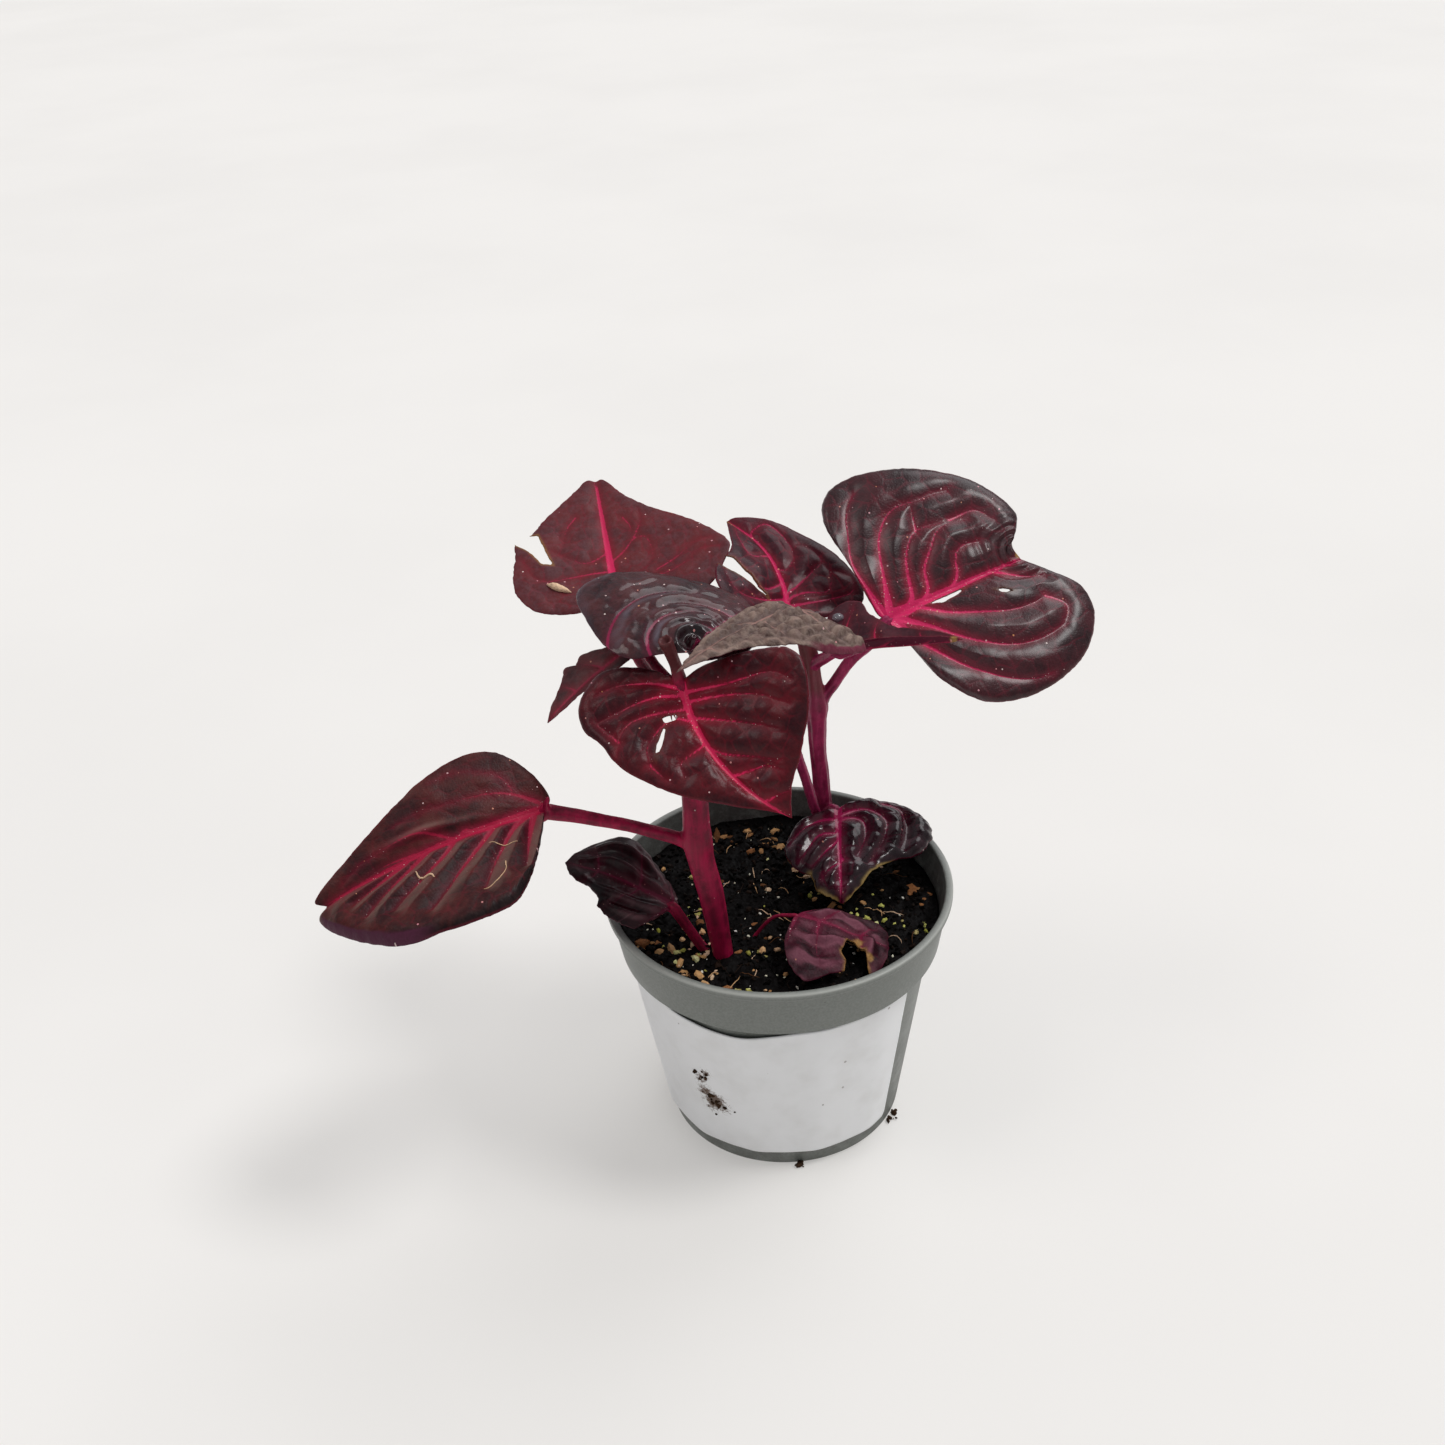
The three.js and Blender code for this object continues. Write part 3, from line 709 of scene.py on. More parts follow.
def mottle_group() -> Tree:
    """Uneven colour: patches of one colour in another, with a finer mottle over both.

    Returns:
        The group.
    """
    shades, start, end = shared_group(
        "mottled_colour",
        {"Vector": Kind.VECTOR, "Scale": Kind.VALUE, "First": Kind.COLOUR, "Second": Kind.COLOUR},
        {"Colour": Kind.COLOUR})
    vector, scale, first, second = start.outputs[:4]
    large = shades.noise(vector, scale, 2)
    fine = shades.noise(vector, shades.times(scale, 9.0), 5, 0.7)
    share = shades.span(shades.plus(large, shades.times(fine, 0.5)), 0.55, 0.95)
    shades.filled(end, {"Colour": shades.mix(share, first, second)})
    return shades.tree


def vein_group() -> Tree:
    """Colour of a blade from its distances, in millimetres, to its veins, its net and its margin.

    The side veins and midrib are drawn where the distance past their own width is under nought,
    fainter along their way, a glow spreads from them by its own share, and the net is drawn as thin
    fainter lines.

    Returns:
        The group.
    """
    values = ("Vein", "Net", "Edge", "Mottle", "Glow Share", "Net Share", "Net Width", "Fade")
    colours = ("Base", "Glow Colour", "Vein Colour")
    shades, start, end = shared_group(
        "blade_veins", {**dict.fromkeys(values, Kind.VALUE), **dict.fromkeys(colours, Kind.COLOUR)},
        {"Colour": Kind.COLOUR, "Line": Kind.VALUE})
    vein, net, edge, mottle, glow_share, net_share, net_width, fade = start.outputs[:8]
    base, tint, line_tint = start.outputs[8:11]
    frayed = shades.plus(vein, shades.times(mottle, 0.45))
    strong = shades.math("SUBTRACT", 1.0, shades.times(fade, 0.75))
    line = shades.times(shades.span(frayed, -0.06, 0.15, 1, 0), strong)
    near = shades.math("POWER", shades.span(frayed, -0.1, 2.1, 1, 0), 2.2)
    glow = shades.times(shades.times(near, shades.span(fade, 0.0, 0.7, 1.0, 0.3)), glow_share)
    thread = shades.math("DIVIDE", shades.plus(net, shades.times(mottle, 0.25)), net_width)
    web = shades.times(shades.span(thread, 0.0, 1.0, 1, 0), net_share)
    web = shades.times(web, shades.span(edge, 0.4, 2.0))
    colour = shades.mix(web, shades.mix(glow, base, tint), tint)
    colour = shades.mix(line, colour, line_tint)
    rim = shades.times(shades.span(edge, 0.0, 0.3, 1, 0), 0.3)
    shades.filled(end, {"Colour": shades.mix(rim, colour, tint), "Line": line})
    return shades.tree


@dataclass
class Groups:
    """The node groups that the finishes share."""

    specks: Tree = field(default_factory=speck_group)
    grain: Tree = field(default_factory=grain_group)
    mottle: Tree = field(default_factory=mottle_group)
    veins: Tree = field(default_factory=vein_group)


def new_material(name: str) -> tuple[Material, Shades, Node]:
    """A material, a helper for its nodes, and its Principled shader.

    Args:
        name: The material's name.

    Returns:
        The material, the helper and the shader.
    """
    material = bpy.data.materials.new(name)
    material.use_nodes = True
    return material, Shades(material.node_tree), material.node_tree.nodes["Principled BSDF"]


@dataclass(frozen=True)
class LeafFinish:
    """Colours and surface of one leaf.

    The colours are linear. The shares run from 0 to 1: glow for the red that spreads from the veins,
    net for the fine web, dust for the grey dust, thicker on the domes between the veins as painted
    light, specks and grit for the scattered pale dots, and a share for painted light in the dust colour
    on the relief's flanks that face the lit side, with painted shade in the shade colour on the
    opposite flanks.
    """

    name: str
    lamina: Colour
    dark: Colour
    glow: Colour = srgb(132, 14, 42)
    vein: Colour = srgb(190, 34, 78)
    underside: Colour = srgb(98, 26, 60)
    # Grey of the dust, also the painted light on the relief's flanks that face the lit side.
    dust: Colour = srgb(112, 96, 96)
    dry: Colour = srgb(196, 150, 84)
    # Painted shade on the relief's flanks that face away from the lit side.
    shade: Colour = srgb(22, 10, 13)
    glow_share: float = 0.75
    net_share: float = 0.16
    dust_share: float = 0.05
    speck_share: float = 0.07
    grit_share: float = 0.0
    # Share of the painted light and painted shade on the relief's flanks.
    flank_light_and_shade: float = 0.0
    roughness: float = 0.33
    coat: float = 0.1
    coat_roughness: float = 0.22
    specular: float = 0.26
    net_width: float = 0.24
    relief: float = 0.14

    def material(self, groups: Groups) -> Material:
        """The leaf's material, which reads the blade's flat coordinates and named values.

        Args:
            groups: The shared node groups.

        Returns:
            The material.
        """
        material, shades, shader = new_material(self.name)
        flat = shades.flat()
        fray = shades.noise(flat, 1.9, 4, 0.65)
        lean, vein, net = (shades.attribute(label) for label in ("lean", "vein", "net"))
        under = shades.attribute("under")
        base = shades.mottled(groups, flat, 0.16, self.dark, self.lamina)
        # Painted light in the dust colour on the flanks that fall toward the lit side, and painted shade in
        # the shade colour on the others.
        base = shades.mix(shades.span(lean, 0.0, 0.8, 0, self.flank_light_and_shade), base, self.dust)
        base = shades.mix(shades.span(lean, -0.8, 0.0, 1.2 * self.flank_light_and_shade, 0), base, self.shade)
        veins = shades.group(groups.veins, {
            "Base": base, "Vein": vein, "Net": net, "Edge": shades.attribute("edge"),
            "Mottle": shades.math("SUBTRACT", fray, 0.5), "Glow Colour": self.glow, "Vein Colour": self.vein,
            "Glow Share": self.glow_share, "Net Share": self.net_share, "Net Width": self.net_width,
            "Fade": shades.attribute("fade")})
        # Grey dust over the leaf, partly real dust and partly painted light: fainter in the grooves by the
        # veins, stronger on the domes.
        dust_and_dome_light = shades.span(shades.noise(flat, 0.9, 6, 0.75), 0.38, 0.68, 0, self.dust_share)
        dust_and_dome_light = shades.times(dust_and_dome_light, shades.span(vein, 0.1, 1.7, 0.15, 1.2))
        colour = shades.mix(dust_and_dome_light, veins.outputs["Colour"], self.dust)
        below = shades.mix(shades.times(fray, 0.55), self.underside, self.dark)
        below = shades.mix(shades.times(veins.outputs["Line"], 0.6), below, self.vein)
        colour = shades.mix(under, colour, below)
        dry_tone = shades.mix(shades.noise(flat, 2.6, 5, 0.7), self.dry, srgb(70, 42, 30))
        colour = shades.mix(shades.attribute("dry"), colour, dry_tone)
        colour = shades.speckled(groups, colour, flat, (1.15, self.speck_share, 0.13), 0.75)
        off_veins = shades.span(vein, -0.1, 0.9, 0.7, 0)
        colour = shades.speckled(groups, colour, flat, (3.1, self.grit_share, 0.16), off_veins)
        grain = shades.grain(groups, flat, 3.4, 0.6)
        rough = shades.span(grain, 0.1, 0.8, self.roughness - 0.05, self.roughness + 0.1)
        rough = shades.plus(shades.plus(rough, shades.times(dust_and_dome_light, 0.45)), shades.times(under, 0.12))
        height = shades.plus(grain, shades.times(shades.span(net, 0.0, 0.5), 0.5))
        shades.filled(shader, {
            "Base Color": colour, "Roughness": shades.math("MINIMUM", rough, 0.95),
            "Normal": shades.bump(height, self.relief, 0.00022), "Coat Weight": self.coat,
            "Coat Roughness": self.coat_roughness, "Specular IOR Level": self.specular})
        return material


@dataclass(frozen=True)
class StemFinish:
    """Magenta skin of a stem: painted highlights on its ridges over darker hollows, and the brown of its old
    and dry parts.
    """

    name: str
    light: Colour
    dark: Colour
    brown: Colour = srgb(92, 52, 44)
    roughness: float = 0.42

    def material(self, groups: Groups) -> Material:
        """The stem's material, which reads Object coordinates and the named values.

        Args:
            groups: The shared node groups.

        Returns:
            The material.
        """
        material, shades, shader = new_material(self.name)
        spot = shades.spot()
        streaks = shades.noise(shades.stretched(spot, (1500, 1500, 130)), 1.0, 4, 0.6)
        tone = shades.mottled(groups, spot, 260.0, self.dark, self.light)
        # Painted highlight: the colour moves toward the light colour on the crests of the ribs.
        tone = shades.mix(shades.times(shades.attribute("ridge"), 0.55), tone, self.light)
        tone = shades.mix(shades.span(streaks, 0.35, 0.75, 0, 0.5), tone, self.dark)
        tone = shades.mix(shades.attribute("brown"), tone, self.brown)
        scars = shades.span(shades.noise(shades.stretched(spot, (420, 420, 900)), 1.0, 3), 0.66, 0.8, 0, 0.3)
        tone = shades.mix(scars, tone, self.brown)
        grain = shades.grain(groups, shades.stretched(spot, (1, 1, 0.3)), 2600.0, 0.3)
        shades.filled(shader, {
            "Base Color": shades.speckled(groups, tone, spot, (900.0, 0.1, 0.13), 0.5),
            "Roughness": shades.span(grain, 0.2, 0.8, self.roughness - 0.08, self.roughness + 0.16),
            "Normal": shades.bump(shades.plus(grain, streaks), 0.3, 0.0002), "Specular IOR Level": 0.2})
        return material


@dataclass(frozen=True)
class PeatFinish:
    """Dark damp peat and the bits in it, whose colour comes from each bit's own tone value."""

    name: str = "peat"
    stops: tuple[tuple[float, Colour], ...] = (
        (0.0, srgb(3, 2, 2)), (0.25, srgb(8, 5, 5)), (0.45, srgb(40, 26, 18)), (0.55, srgb(140, 92, 56)),
        (0.64, srgb(198, 154, 104)), (0.74, srgb(230, 196, 166)), (0.82, srgb(150, 150, 58)),
        (0.9, srgb(214, 214, 124)), (1.0, srgb(246, 242, 236)))

    def material(self, groups: Groups) -> Material:
        """The material of the plug of peat and of every bit in it.

        Args:
            groups: The shared node groups.

        Returns:
            The material.
        """
        material, shades, shader = new_material(self.name)
        spot = shades.spot()
        tone = shades.ramp(shades.attribute("tone"), self.stops)
        shade = shades.span(shades.noise(spot, 1500.0, 5, 0.7), 0.4, 0.75, 0.0, 0.45)
        grain = shades.grain(groups, spot, 1900.0, 0.5)
        shades.filled(shader, {
            "Base Color": shades.mix(shade, tone, srgb(6, 4, 4)),
            "Roughness": shades.span(grain, 0.2, 0.8, 0.5, 0.95),
            "Normal": shades.bump(grain, 0.6, 0.0004), "Specular IOR Level": 0.08})
        return material


@dataclass(frozen=True)
class PotFinish:
    """Moulded grey-green plastic with a fine speckle, dust in its corners and soil on its inner wall."""

    name: str = "pot_plastic"
    body: Colour = srgb(105, 109, 104)
    pale: Colour = srgb(127, 131, 126)
    # Paler grey of the painted highlight along the top of the lip.
    worn_and_highlight: Colour = srgb(168, 170, 164)
    soil: Colour = srgb(42, 34, 28)
    roughness: float = 0.42

    def material(self, groups: Groups) -> Material:
        """The pot's material, on Object coordinates, its soiling value and the lip value of its painted
        highlight.

        Args:
            groups: The shared node groups.

        Returns:
            The material.
        """
        material, shades, shader = new_material(self.name)
        spot = shades.spot()
        speckle = shades.noise(spot, 2600.0, 3, 0.6)
        cloud = shades.noise(shades.stretched(spot, (1, 1, 2.2)), 60.0, 4)
        tone = shades.mix(shades.span(speckle, 0.35, 0.68, 0, 0.55), self.body, self.pale)
        tone = shades.mix(shades.span(cloud, 0.4, 0.75, 0, 0.3), tone, self.pale)
        patches = shades.span(shades.noise(spot, 420.0, 6, 0.7), 0.3, 0.6)
        dirt = shades.times(shades.attribute("soiled"), patches)
        tone = shades.mix(dirt, tone, self.soil)
        tone = shades.speckled(groups, tone, spot, (520.0, 0.05, 0.16), 0.4, self.soil)
        rough = shades.span(cloud, 0.3, 0.7, self.roughness - 0.05, self.roughness + 0.1)
        shades.filled(shader, {
            # Painted highlight: the lip value moves the colour toward a paler grey along the top of the lip.
            "Base Color": shades.mix(shades.times(shades.attribute("lip"), 0.75), tone, self.worn_and_highlight),
            "Roughness": shades.plus(rough, shades.times(dirt, 0.4)),
            "Normal": shades.bump(shades.grain(groups, spot, 2100.0, 0.2), 0.18, 0.00012)})
        return material


@dataclass(frozen=True)
class PaperFinish:
    """Bare white label paper, with fibres, faint creases and a smear of soil."""

    name: str = "label_paper"
    paper: Colour = srgb(238, 239, 240)
    worn_and_highlight: Colour = srgb(221, 221, 220)
    soil: Colour = srgb(88, 62, 42)
    roughness: float = 0.6

    def material(self, groups: Groups) -> Material:
        """The label's material, on its flat coordinates and its named smear value.

        Args:
            groups: The shared node groups.

        Returns:
            The material.
        """
        material, shades, shader = new_material(self.name)
        flat, smeared = shades.flat(), shades.attribute("smear")
        fibres = shades.noise(shades.stretched(flat, (0.9, 5.5, 1)), 2.4, 5, 0.7)
        tone = shades.mix(shades.span(shades.noise(flat, 0.12, 3), 0.4, 0.75, 0, 0.55), self.paper, self.worn_and_highlight)
        tone = shades.mix(shades.span(fibres, 0.45, 0.75, 0, 0.16), tone, self.worn_and_highlight)
        splatter = shades.times(shades.math("SUBTRACT", shades.noise(flat, 1.1, 6, 0.8), 0.5), 1.9)
        smear = shades.span(shades.plus(smeared, splatter), 0.4, 0.75, 0, 0.95)
        hair = shades.math("ABSOLUTE", shades.math("SUBTRACT", shades.noise(flat, 0.6, 2, 0.4), 0.5))
        hair = shades.times(shades.span(hair, 0.0, 0.022, 1, 0), shades.span(smeared, 0.1, 0.5))
        smear = shades.math("MAXIMUM", smear, shades.times(hair, 0.75))
        tone = shades.mix(smear, tone, self.soil)
        height = shades.plus(shades.times(fibres, 0.4), shades.times(smear, 0.2))
        shades.filled(shader, {
            "Base Color": shades.speckled(groups, tone, flat, (0.5, 0.05, 0.1), 0.5, self.soil),
            "Roughness": shades.span(fibres, 0.3, 0.7, self.roughness - 0.06, self.roughness + 0.1),
            "Normal": shades.bump(height, 0.25, 0.00015)})
        return material


@dataclass(frozen=True)
class WaterFinish:
    """Clear water."""

    name: str = "water"

    def material(self) -> Material:
        """The water's material, with plain values and a faint ripple.

        Returns:
            The material.
        """
        material, shades, shader = new_material(self.name)
        shades.filled(shader, {
            "Base Color": srgb(225, 225, 235), "Roughness": 0.03, "IOR": 1.33, "Transmission Weight": 0.85,
            "Normal": shades.bump(shades.noise(shades.spot(), 900.0, 2), 0.05, 0.00005)})
        return material


@dataclass(frozen=True)
class BladeShape:
    """Form of one leaf's blade, in millimetres and degrees.

    The blade starts at base and its midrib's chord ends at tip. Roll tilts it about the chord, droop
    is the whole turn of the midrib, sweep its sideways bow, fold the angle at which each half rises
    and cup the further turn of a half at the distance half. The margins, cuts and side veins are
    places on the flattened blade: distance along the midrib and beside it, left positive.
    """

    base: Place
    tip: Place
    roll: float
    droop: float
    fold: tuple[float, float]
    cup: tuple[float, float]
    half: float
    sweep: float
    left: Line
    right: Line
    puff: float
    wave: float
    veins: int = 0
    cuts: tuple[Line, ...] = ()
    laterals: tuple[Line, ...] = ()

    def turn(self) -> float:
        """Whole turn of the midrib in radians, never quite nought."""
        return max(math.radians(self.droop), STRAIGHT)

    def length(self) -> float:
        """Length of the midrib: its chord as an arc that turns by the droop.

        Returns:
            The length in millimetres.
        """
        chord = lengths(np.subtract(self.tip, self.base))
        half_turn = self.turn() / 2
        return float(chord * half_turn / math.sin(half_turn))

    def directions(self) -> tuple[Array, Array, Array]:
        """Unit vectors ahead, up and to the left at the blade's base.

        Returns:
            The three directions.
        """
        chord = unit(np.subtract(self.tip, self.base))
        level = unit(np.cross((0, 0, 1), chord))
        face = np.cross(chord, level)
        tilt = -math.radians(self.roll)
        face = face * math.cos(tilt) + np.cross(chord, face) * math.sin(tilt)
        half_turn = self.turn() / 2
        ahead = chord * math.cos(half_turn) + face * math.sin(half_turn)
        up = -chord * math.sin(half_turn) + face * math.cos(half_turn)
        return ahead, up, np.cross(up, ahead)

    def midrib(self, x: Array) -> Array:
        """Sideways place of the midrib: a parabola that is sweep at half way."""
        share = np.clip(x / self.length(), 0, 1)
        return 4 * self.sweep * share * (1 - share)

    def place(self, flat: Array, lift: Array) -> Array:
        """Points of the bent blade.

        The midrib is an arc, and each half leaves it at its fold and bends on an arc of its own, whose
        rise and reach are the cosines and sines of its start and end angles over its curl. The lift
        follows the half's own normal, blended with the midrib's normal within a millimetre of it.

        Args:
            flat: Places on the flattened blade, one row each.
            lift: Height above the blade's middle surface.

        Returns:
            The points, one row each.
        """
        ahead, up, left = self.directions()
        length = self.length()
        bend = self.turn() / length
        x, y = flat[:, 0], flat[:, 1]
        turn = bend * np.maximum(x, 0)
        middle = (np.array(self.base) + np.outer(np.sin(turn) / bend + np.minimum(x, 0), ahead)
                  - np.outer((1 - np.cos(turn)) / bend, up))
        normal = np.outer(np.sin(turn), ahead) + np.outer(np.cos(turn), up)
        offset = self.midrib(x)
        side = np.where(y >= offset, 1.0, -1.0)
        distance = np.abs(y - offset)
        fold = np.radians(np.where(side > 0, self.fold[0], self.fold[1]))
        curl = np.radians(np.where(side > 0, self.cup[0], self.cup[1]))
        curl = np.where(curl == 0, STRAIGHT, curl) / self.half
        end = fold + curl * distance
        across = offset + side * (np.sin(end) - np.sin(fold)) / curl
        rise = (np.cos(fold) - np.cos(end)) / curl * distance / (distance + 0.12)
        near = smoothstep(0.0, 1.2, distance)
        lean = -side * np.sin(end) * near
        facing = lean[:, None] * left + np.sqrt(1 - lean**2)[:, None] * normal
        return middle + across[:, None] * left + rise[:, None] * normal + lift[:, None] * facing


@dataclass
class Blade:
    """One leaf's blade as a fine sheet with veins, puckers, tears and a thin ragged margin.

    The sheet is a grid whose columns run from the midrib to the margins along the side veins, with
    its middle column shared by both halves.
    """

    name: str
    finish: LeafFinish
    slot: str
    seed: int
    spacing: float = 0.33
    middle_thickness: float = 0.34
    margin_thickness: float = 0.15
    midrib_width: float = 0.5
    lateral_width: float = 0.19
    lateral_fade: float = 0.16
    faint: float = 0.0
    branch_gap: float = 2.4
    base_fan: float = 0.15
    vein_reach: float = 0.6
    vein_bow: float = 0.1
    bow_start: float = 5.0
    tip_room: float = 3.0
    ragged: float = 0.12
    net_size: float = 2.8
    quilt: float = 0.22
    crumple: float = 0.3
    wrinkle: float = 0.16
    dome: float = 1.7
    pucker_sides: tuple[float, float] = (1.0, 1.0)
    vein_sides: tuple[float, float] = (1.0, 1.0)
    ridges: tuple[tuple[Line, float, float], ...] = ()
    turned: Rows = ()
    ripples: Rows = ()
    arcs: Rows = ()
    cut_dry: float = 0.2
    # Flat direction of the side that the painted light on the relief's flanks comes from.
    lit_flank_side: tuple[float, float] = (-1.0, 0.0)
    dry_spots: Rows = ()
    dry_margin: Rows = ()
    shares: Array = field(init=False)
    surface: tuple[Array, Array] = field(init=False)

    @property
    def shape(self) -> BladeShape:
        """The leaf's own form."""
        return BLADES[self.name]

    def margins(self, shares: Array) -> list[Array]:
        """Left and right margins on the flattened blade, at shares of the way from base to tip."""
        tip = (self.shape.length(), 0)
        return [spline([(0, 0), *outline, tip], shares) for outline in (self.shape.left, self.shape.right)]

    def rows(self) -> tuple[Array, Array, Array]:
        """Rows of the grid: the ends on both margins and the roots on the midrib.

        Rows are spaced evenly by the mean length of both margins. A root lies behind its two ends by
        a share of the distance to them, never behind the row before, and clear of the tip. The ends
        are then moved square to the margin by a rough random field, which makes it ragged.

        Returns:
            Left ends, right ends and the distance of each root along the midrib.
        """
        left, right = (lengths(np.diff(margin, axis=0)) for margin in self.margins(np.linspace(0, 1, 601)))
        mean = np.concatenate([[0], np.cumsum((left + right) / 2)])
        count = int(math.ceil(mean[-1] / self.spacing))
        shares = np.interp(np.linspace(0, mean[-1], count + 1), mean, np.linspace(0, 1, len(mean)))
        length, midrib = self.shape.length(), self.shape.midrib
        ends = self.margins(shares)
        behind = [x - self.vein_reach * np.abs(y - midrib(x)) for x, y in (end.T for end in ends)]
        roots = np.maximum.accumulate(np.clip((behind[0] + behind[1]) / 2, 0, length - self.tip_room))
        roots[0], roots[-1] = 0, length
        self.shares = shares
        even = np.linspace(0, 1, count + 1)
        calm = np.sin(math.pi * even) ** 0.3
        for index, end in enumerate(ends):
            places = np.column_stack([mean[-1] * even, np.full(count + 1, 40.0 * index)])
            rough = noise(places, 2.6, self.seed, 3) + 0.5 * noise(places, 0.6, self.seed + 3)
            slope = unit(np.gradient(end, axis=0))
            out = np.column_stack([-slope[:, 1], slope[:, 0]]) * (1 if index == 0 else -1)
            end += (self.ragged * rough * calm)[:, None] * out
        return ends[0], ends[1], roots

    def grid(self) -> tuple[Array, Array, Array]:
        """Flat places of the grid, and the share of the way from midrib to margin at each.

        Returns:
            Places as rows by columns by two, signed reach, and distance to the margin.
        """
        left, right, roots = self.rows()
        middle = np.column_stack([roots, self.shape.midrib(roots)])
        widths = [lengths(end - middle) for end in (left, right)]
        counts = [max(int(math.ceil(width.max() / self.spacing)), 4) for width in widths]
        halves = []
        for end, count in zip((left, right), counts):
            reach = np.linspace(0, 1, count + 1)[None, :]
            beside = np.abs(end[:, 1] - self.shape.midrib(end[:, 0]))
            bow = self.vein_bow * beside * np.minimum(roots / self.bow_start, 1)
            x = roots[:, None] * (1 - reach) + end[:, :1] * reach - bow[:, None] * np.sin(math.pi * reach)
            y = self.shape.midrib(roots)[:, None] * (1 - reach) + end[:, 1:] * reach
            halves.append(np.stack([x, y], axis=2))
        places = np.concatenate([halves[0][:, :0:-1], halves[1]], axis=1)
        reach = np.concatenate([np.linspace(1, 0, counts[0] + 1)[:-1], -np.linspace(0, 1, counts[1] + 1)])
        width = np.concatenate([np.repeat(widths[0][:, None], counts[0], 1),
                                np.repeat(widths[1][:, None], counts[1] + 1, 1)], axis=1)
        return places, np.broadcast_to(reach, places.shape[:2]), width * (1 - np.abs(reach))

    def rounded(self, line: Line) -> Array:
        """A side vein as a smooth line, which starts on the midrib where its first place is near it.

        The curve through its places is averaged over nine of them, weighted by a raised cosine.

        Args:
            line: Flat places of the vein.

        Returns:
            The smooth line, one row for each point.
        """
        knots = np.array(line, float)
        off = abs(knots[0, 1] - self.shape.midrib(knots[0, 0]))
        if off < self.branch_gap:
            x = max(knots[0, 0] - 1.7 * off, 0.0)
            knots = np.vstack([(x, self.shape.midrib(x)), knots])
        dense = spline(knots, np.linspace(0, 1, 7 * len(knots)))
        weights = np.hanning(11)[1:-1] / np.hanning(11).sum()
        padded = np.pad(dense, ((4, 4), (0, 0)), mode="reflect", reflect_type="odd")
        return np.column_stack([np.convolve(padded[:, axis], weights, "valid") for axis in (0, 1)])

    def vein_lines(self) -> list[tuple[Array, float, float]]:
        """Side veins as smooth flat lines, each with its half width and its faintness at the start.

        Where the shape names none, they follow the rows at even shares of the margins.

        Returns:
            Line, half width and faintness of each.
        """
        lines = []
        for line in self.shape.laterals:
            branch = abs(line[0][1] - self.shape.midrib(line[0][0])) > self.branch_gap
            lines.append((self.rounded(line), self.lateral_width * (0.6 if branch else 1.0),
                          max(self.faint, 0.4 if branch else 0.0)))
        for x, y, radius, start, stop in self.arcs:
            angles = np.radians(np.linspace(start, stop, 18))
            ring = np.column_stack([x + radius * np.cos(angles), y + radius * np.sin(angles)])
            lines.append((ring, self.lateral_width, self.faint))
        if not lines:
            places, reach, _ = self.grid()
            start = int(np.argmin(np.abs(reach[0])))
            for index in range(1, self.shape.veins):
                row = min(int(np.searchsorted(self.shares, index / self.shape.veins)), len(places) - 2)
                lines.append((places[row, start::-3][:-1], self.lateral_width, self.faint))
                lines.append((places[row, start::3][:-1], self.lateral_width, self.faint))
        return [line for line in lines if len(line[0]) > 2]

    def vein_field(self, flat: Array) -> tuple[Array, Array, Array, Array]:
        """Distances of flat places to the veins.

        Args:
            flat: Places on the flattened blade.

        Returns:
            Distance past the nearest vein's own width, distance to the nearest side vein or midrib,
            distance to the midrib, and the share of the way along the nearest vein.
        """
        length = self.shape.length()
        rib_x = np.linspace(-0.5, 0.985 * length, 24)
        rib = np.column_stack([rib_x, self.shape.midrib(rib_x)])
        middle, along = line_distance(flat, rib)
        past = middle - self.midrib_width * (1 - 0.8 * along)
        groove = middle.copy()
        fade = 0.5 * along
        shown = np.where(flat[:, 1] > self.shape.midrib(flat[:, 0]), self.vein_sides[0], self.vein_sides[1])
        hidden = 0.22 * (1 - shown)
        for line, width, faint in self.vein_lines():
            distance, share = line_distance(flat, line)
            beyond = distance - width * (1 - 0.6 * share) + self.lateral_fade * share**2 + hidden
            fade = np.where(beyond < past, faint + (1 - faint) * share, fade)
            past = np.minimum(past, beyond)
            groove = np.minimum(groove, distance + 0.6 * share**2)
        past -= self.base_fan * np.exp(-((np.hypot(flat[:, 0], flat[:, 1]) / 4.5) ** 2))
        return past, groove, middle, fade

    def relief(self, flat: Array, reach: Array, edge: Array, groove: Array, net: Array,
               share: Array) -> Array:
        """Height of the blade's middle surface.

        Puckers rise between the veins by one less a falling exponential of the distance to them, with
        a smaller quilt between the net's lines, a soft crumple, and a wave that grows to the margin.
        Ripples are rings about a place, a sine of the distance that fades with it, a ridge is a bell
        curve of the distance to its line, and a turned margin bends down by the square of its depth.

        Args:
            flat: Places on the flattened blade.
            reach: Signed share of the way to the margin.
            edge: Distance to the margin.
            groove: Distance to the nearest side vein or midrib.
            net: Distance to the net's lines.
            share: Share of the way along the margin.

        Returns:
            Height at each place.
        """
        fade = 1 - np.exp(-edge / 1.3)
        shape = self.shape
        left = smoothstep(-0.8, 0.8, flat[:, 1] - shape.midrib(flat[:, 0]))
        more, less = self.pucker_sides
        strength = shape.puff * (less + (more - less) * left)
        pucker = 1 - np.exp(-(groove / self.dome) ** 1.25)
        quilt = (1 - np.exp(-((net / 0.75) ** 1.6))) * smoothstep(0.2, 1.4, groove)
        soft = noise(flat, 6.5, self.seed + 11, 2)
        folds = noise(flat, 2.7, self.seed + 12) * smoothstep(0.1, 1.5, groove)
        wave = shape.wave * np.sin(5 * math.pi * share + shape.half) * np.sin(math.pi * share) * reach**2
        height = strength * (pucker + self.quilt * quilt) + self.crumple * soft + self.wrinkle * folds
        height = fade * height + wave
        for line, rise, width in self.ridges:
            away, along = line_distance(flat, spline(line, np.linspace(0, 1, 6 * len(line))))
            height += rise * bell(away, width) * np.sin(math.pi * np.clip(along, 0.08, 0.92)) * fade
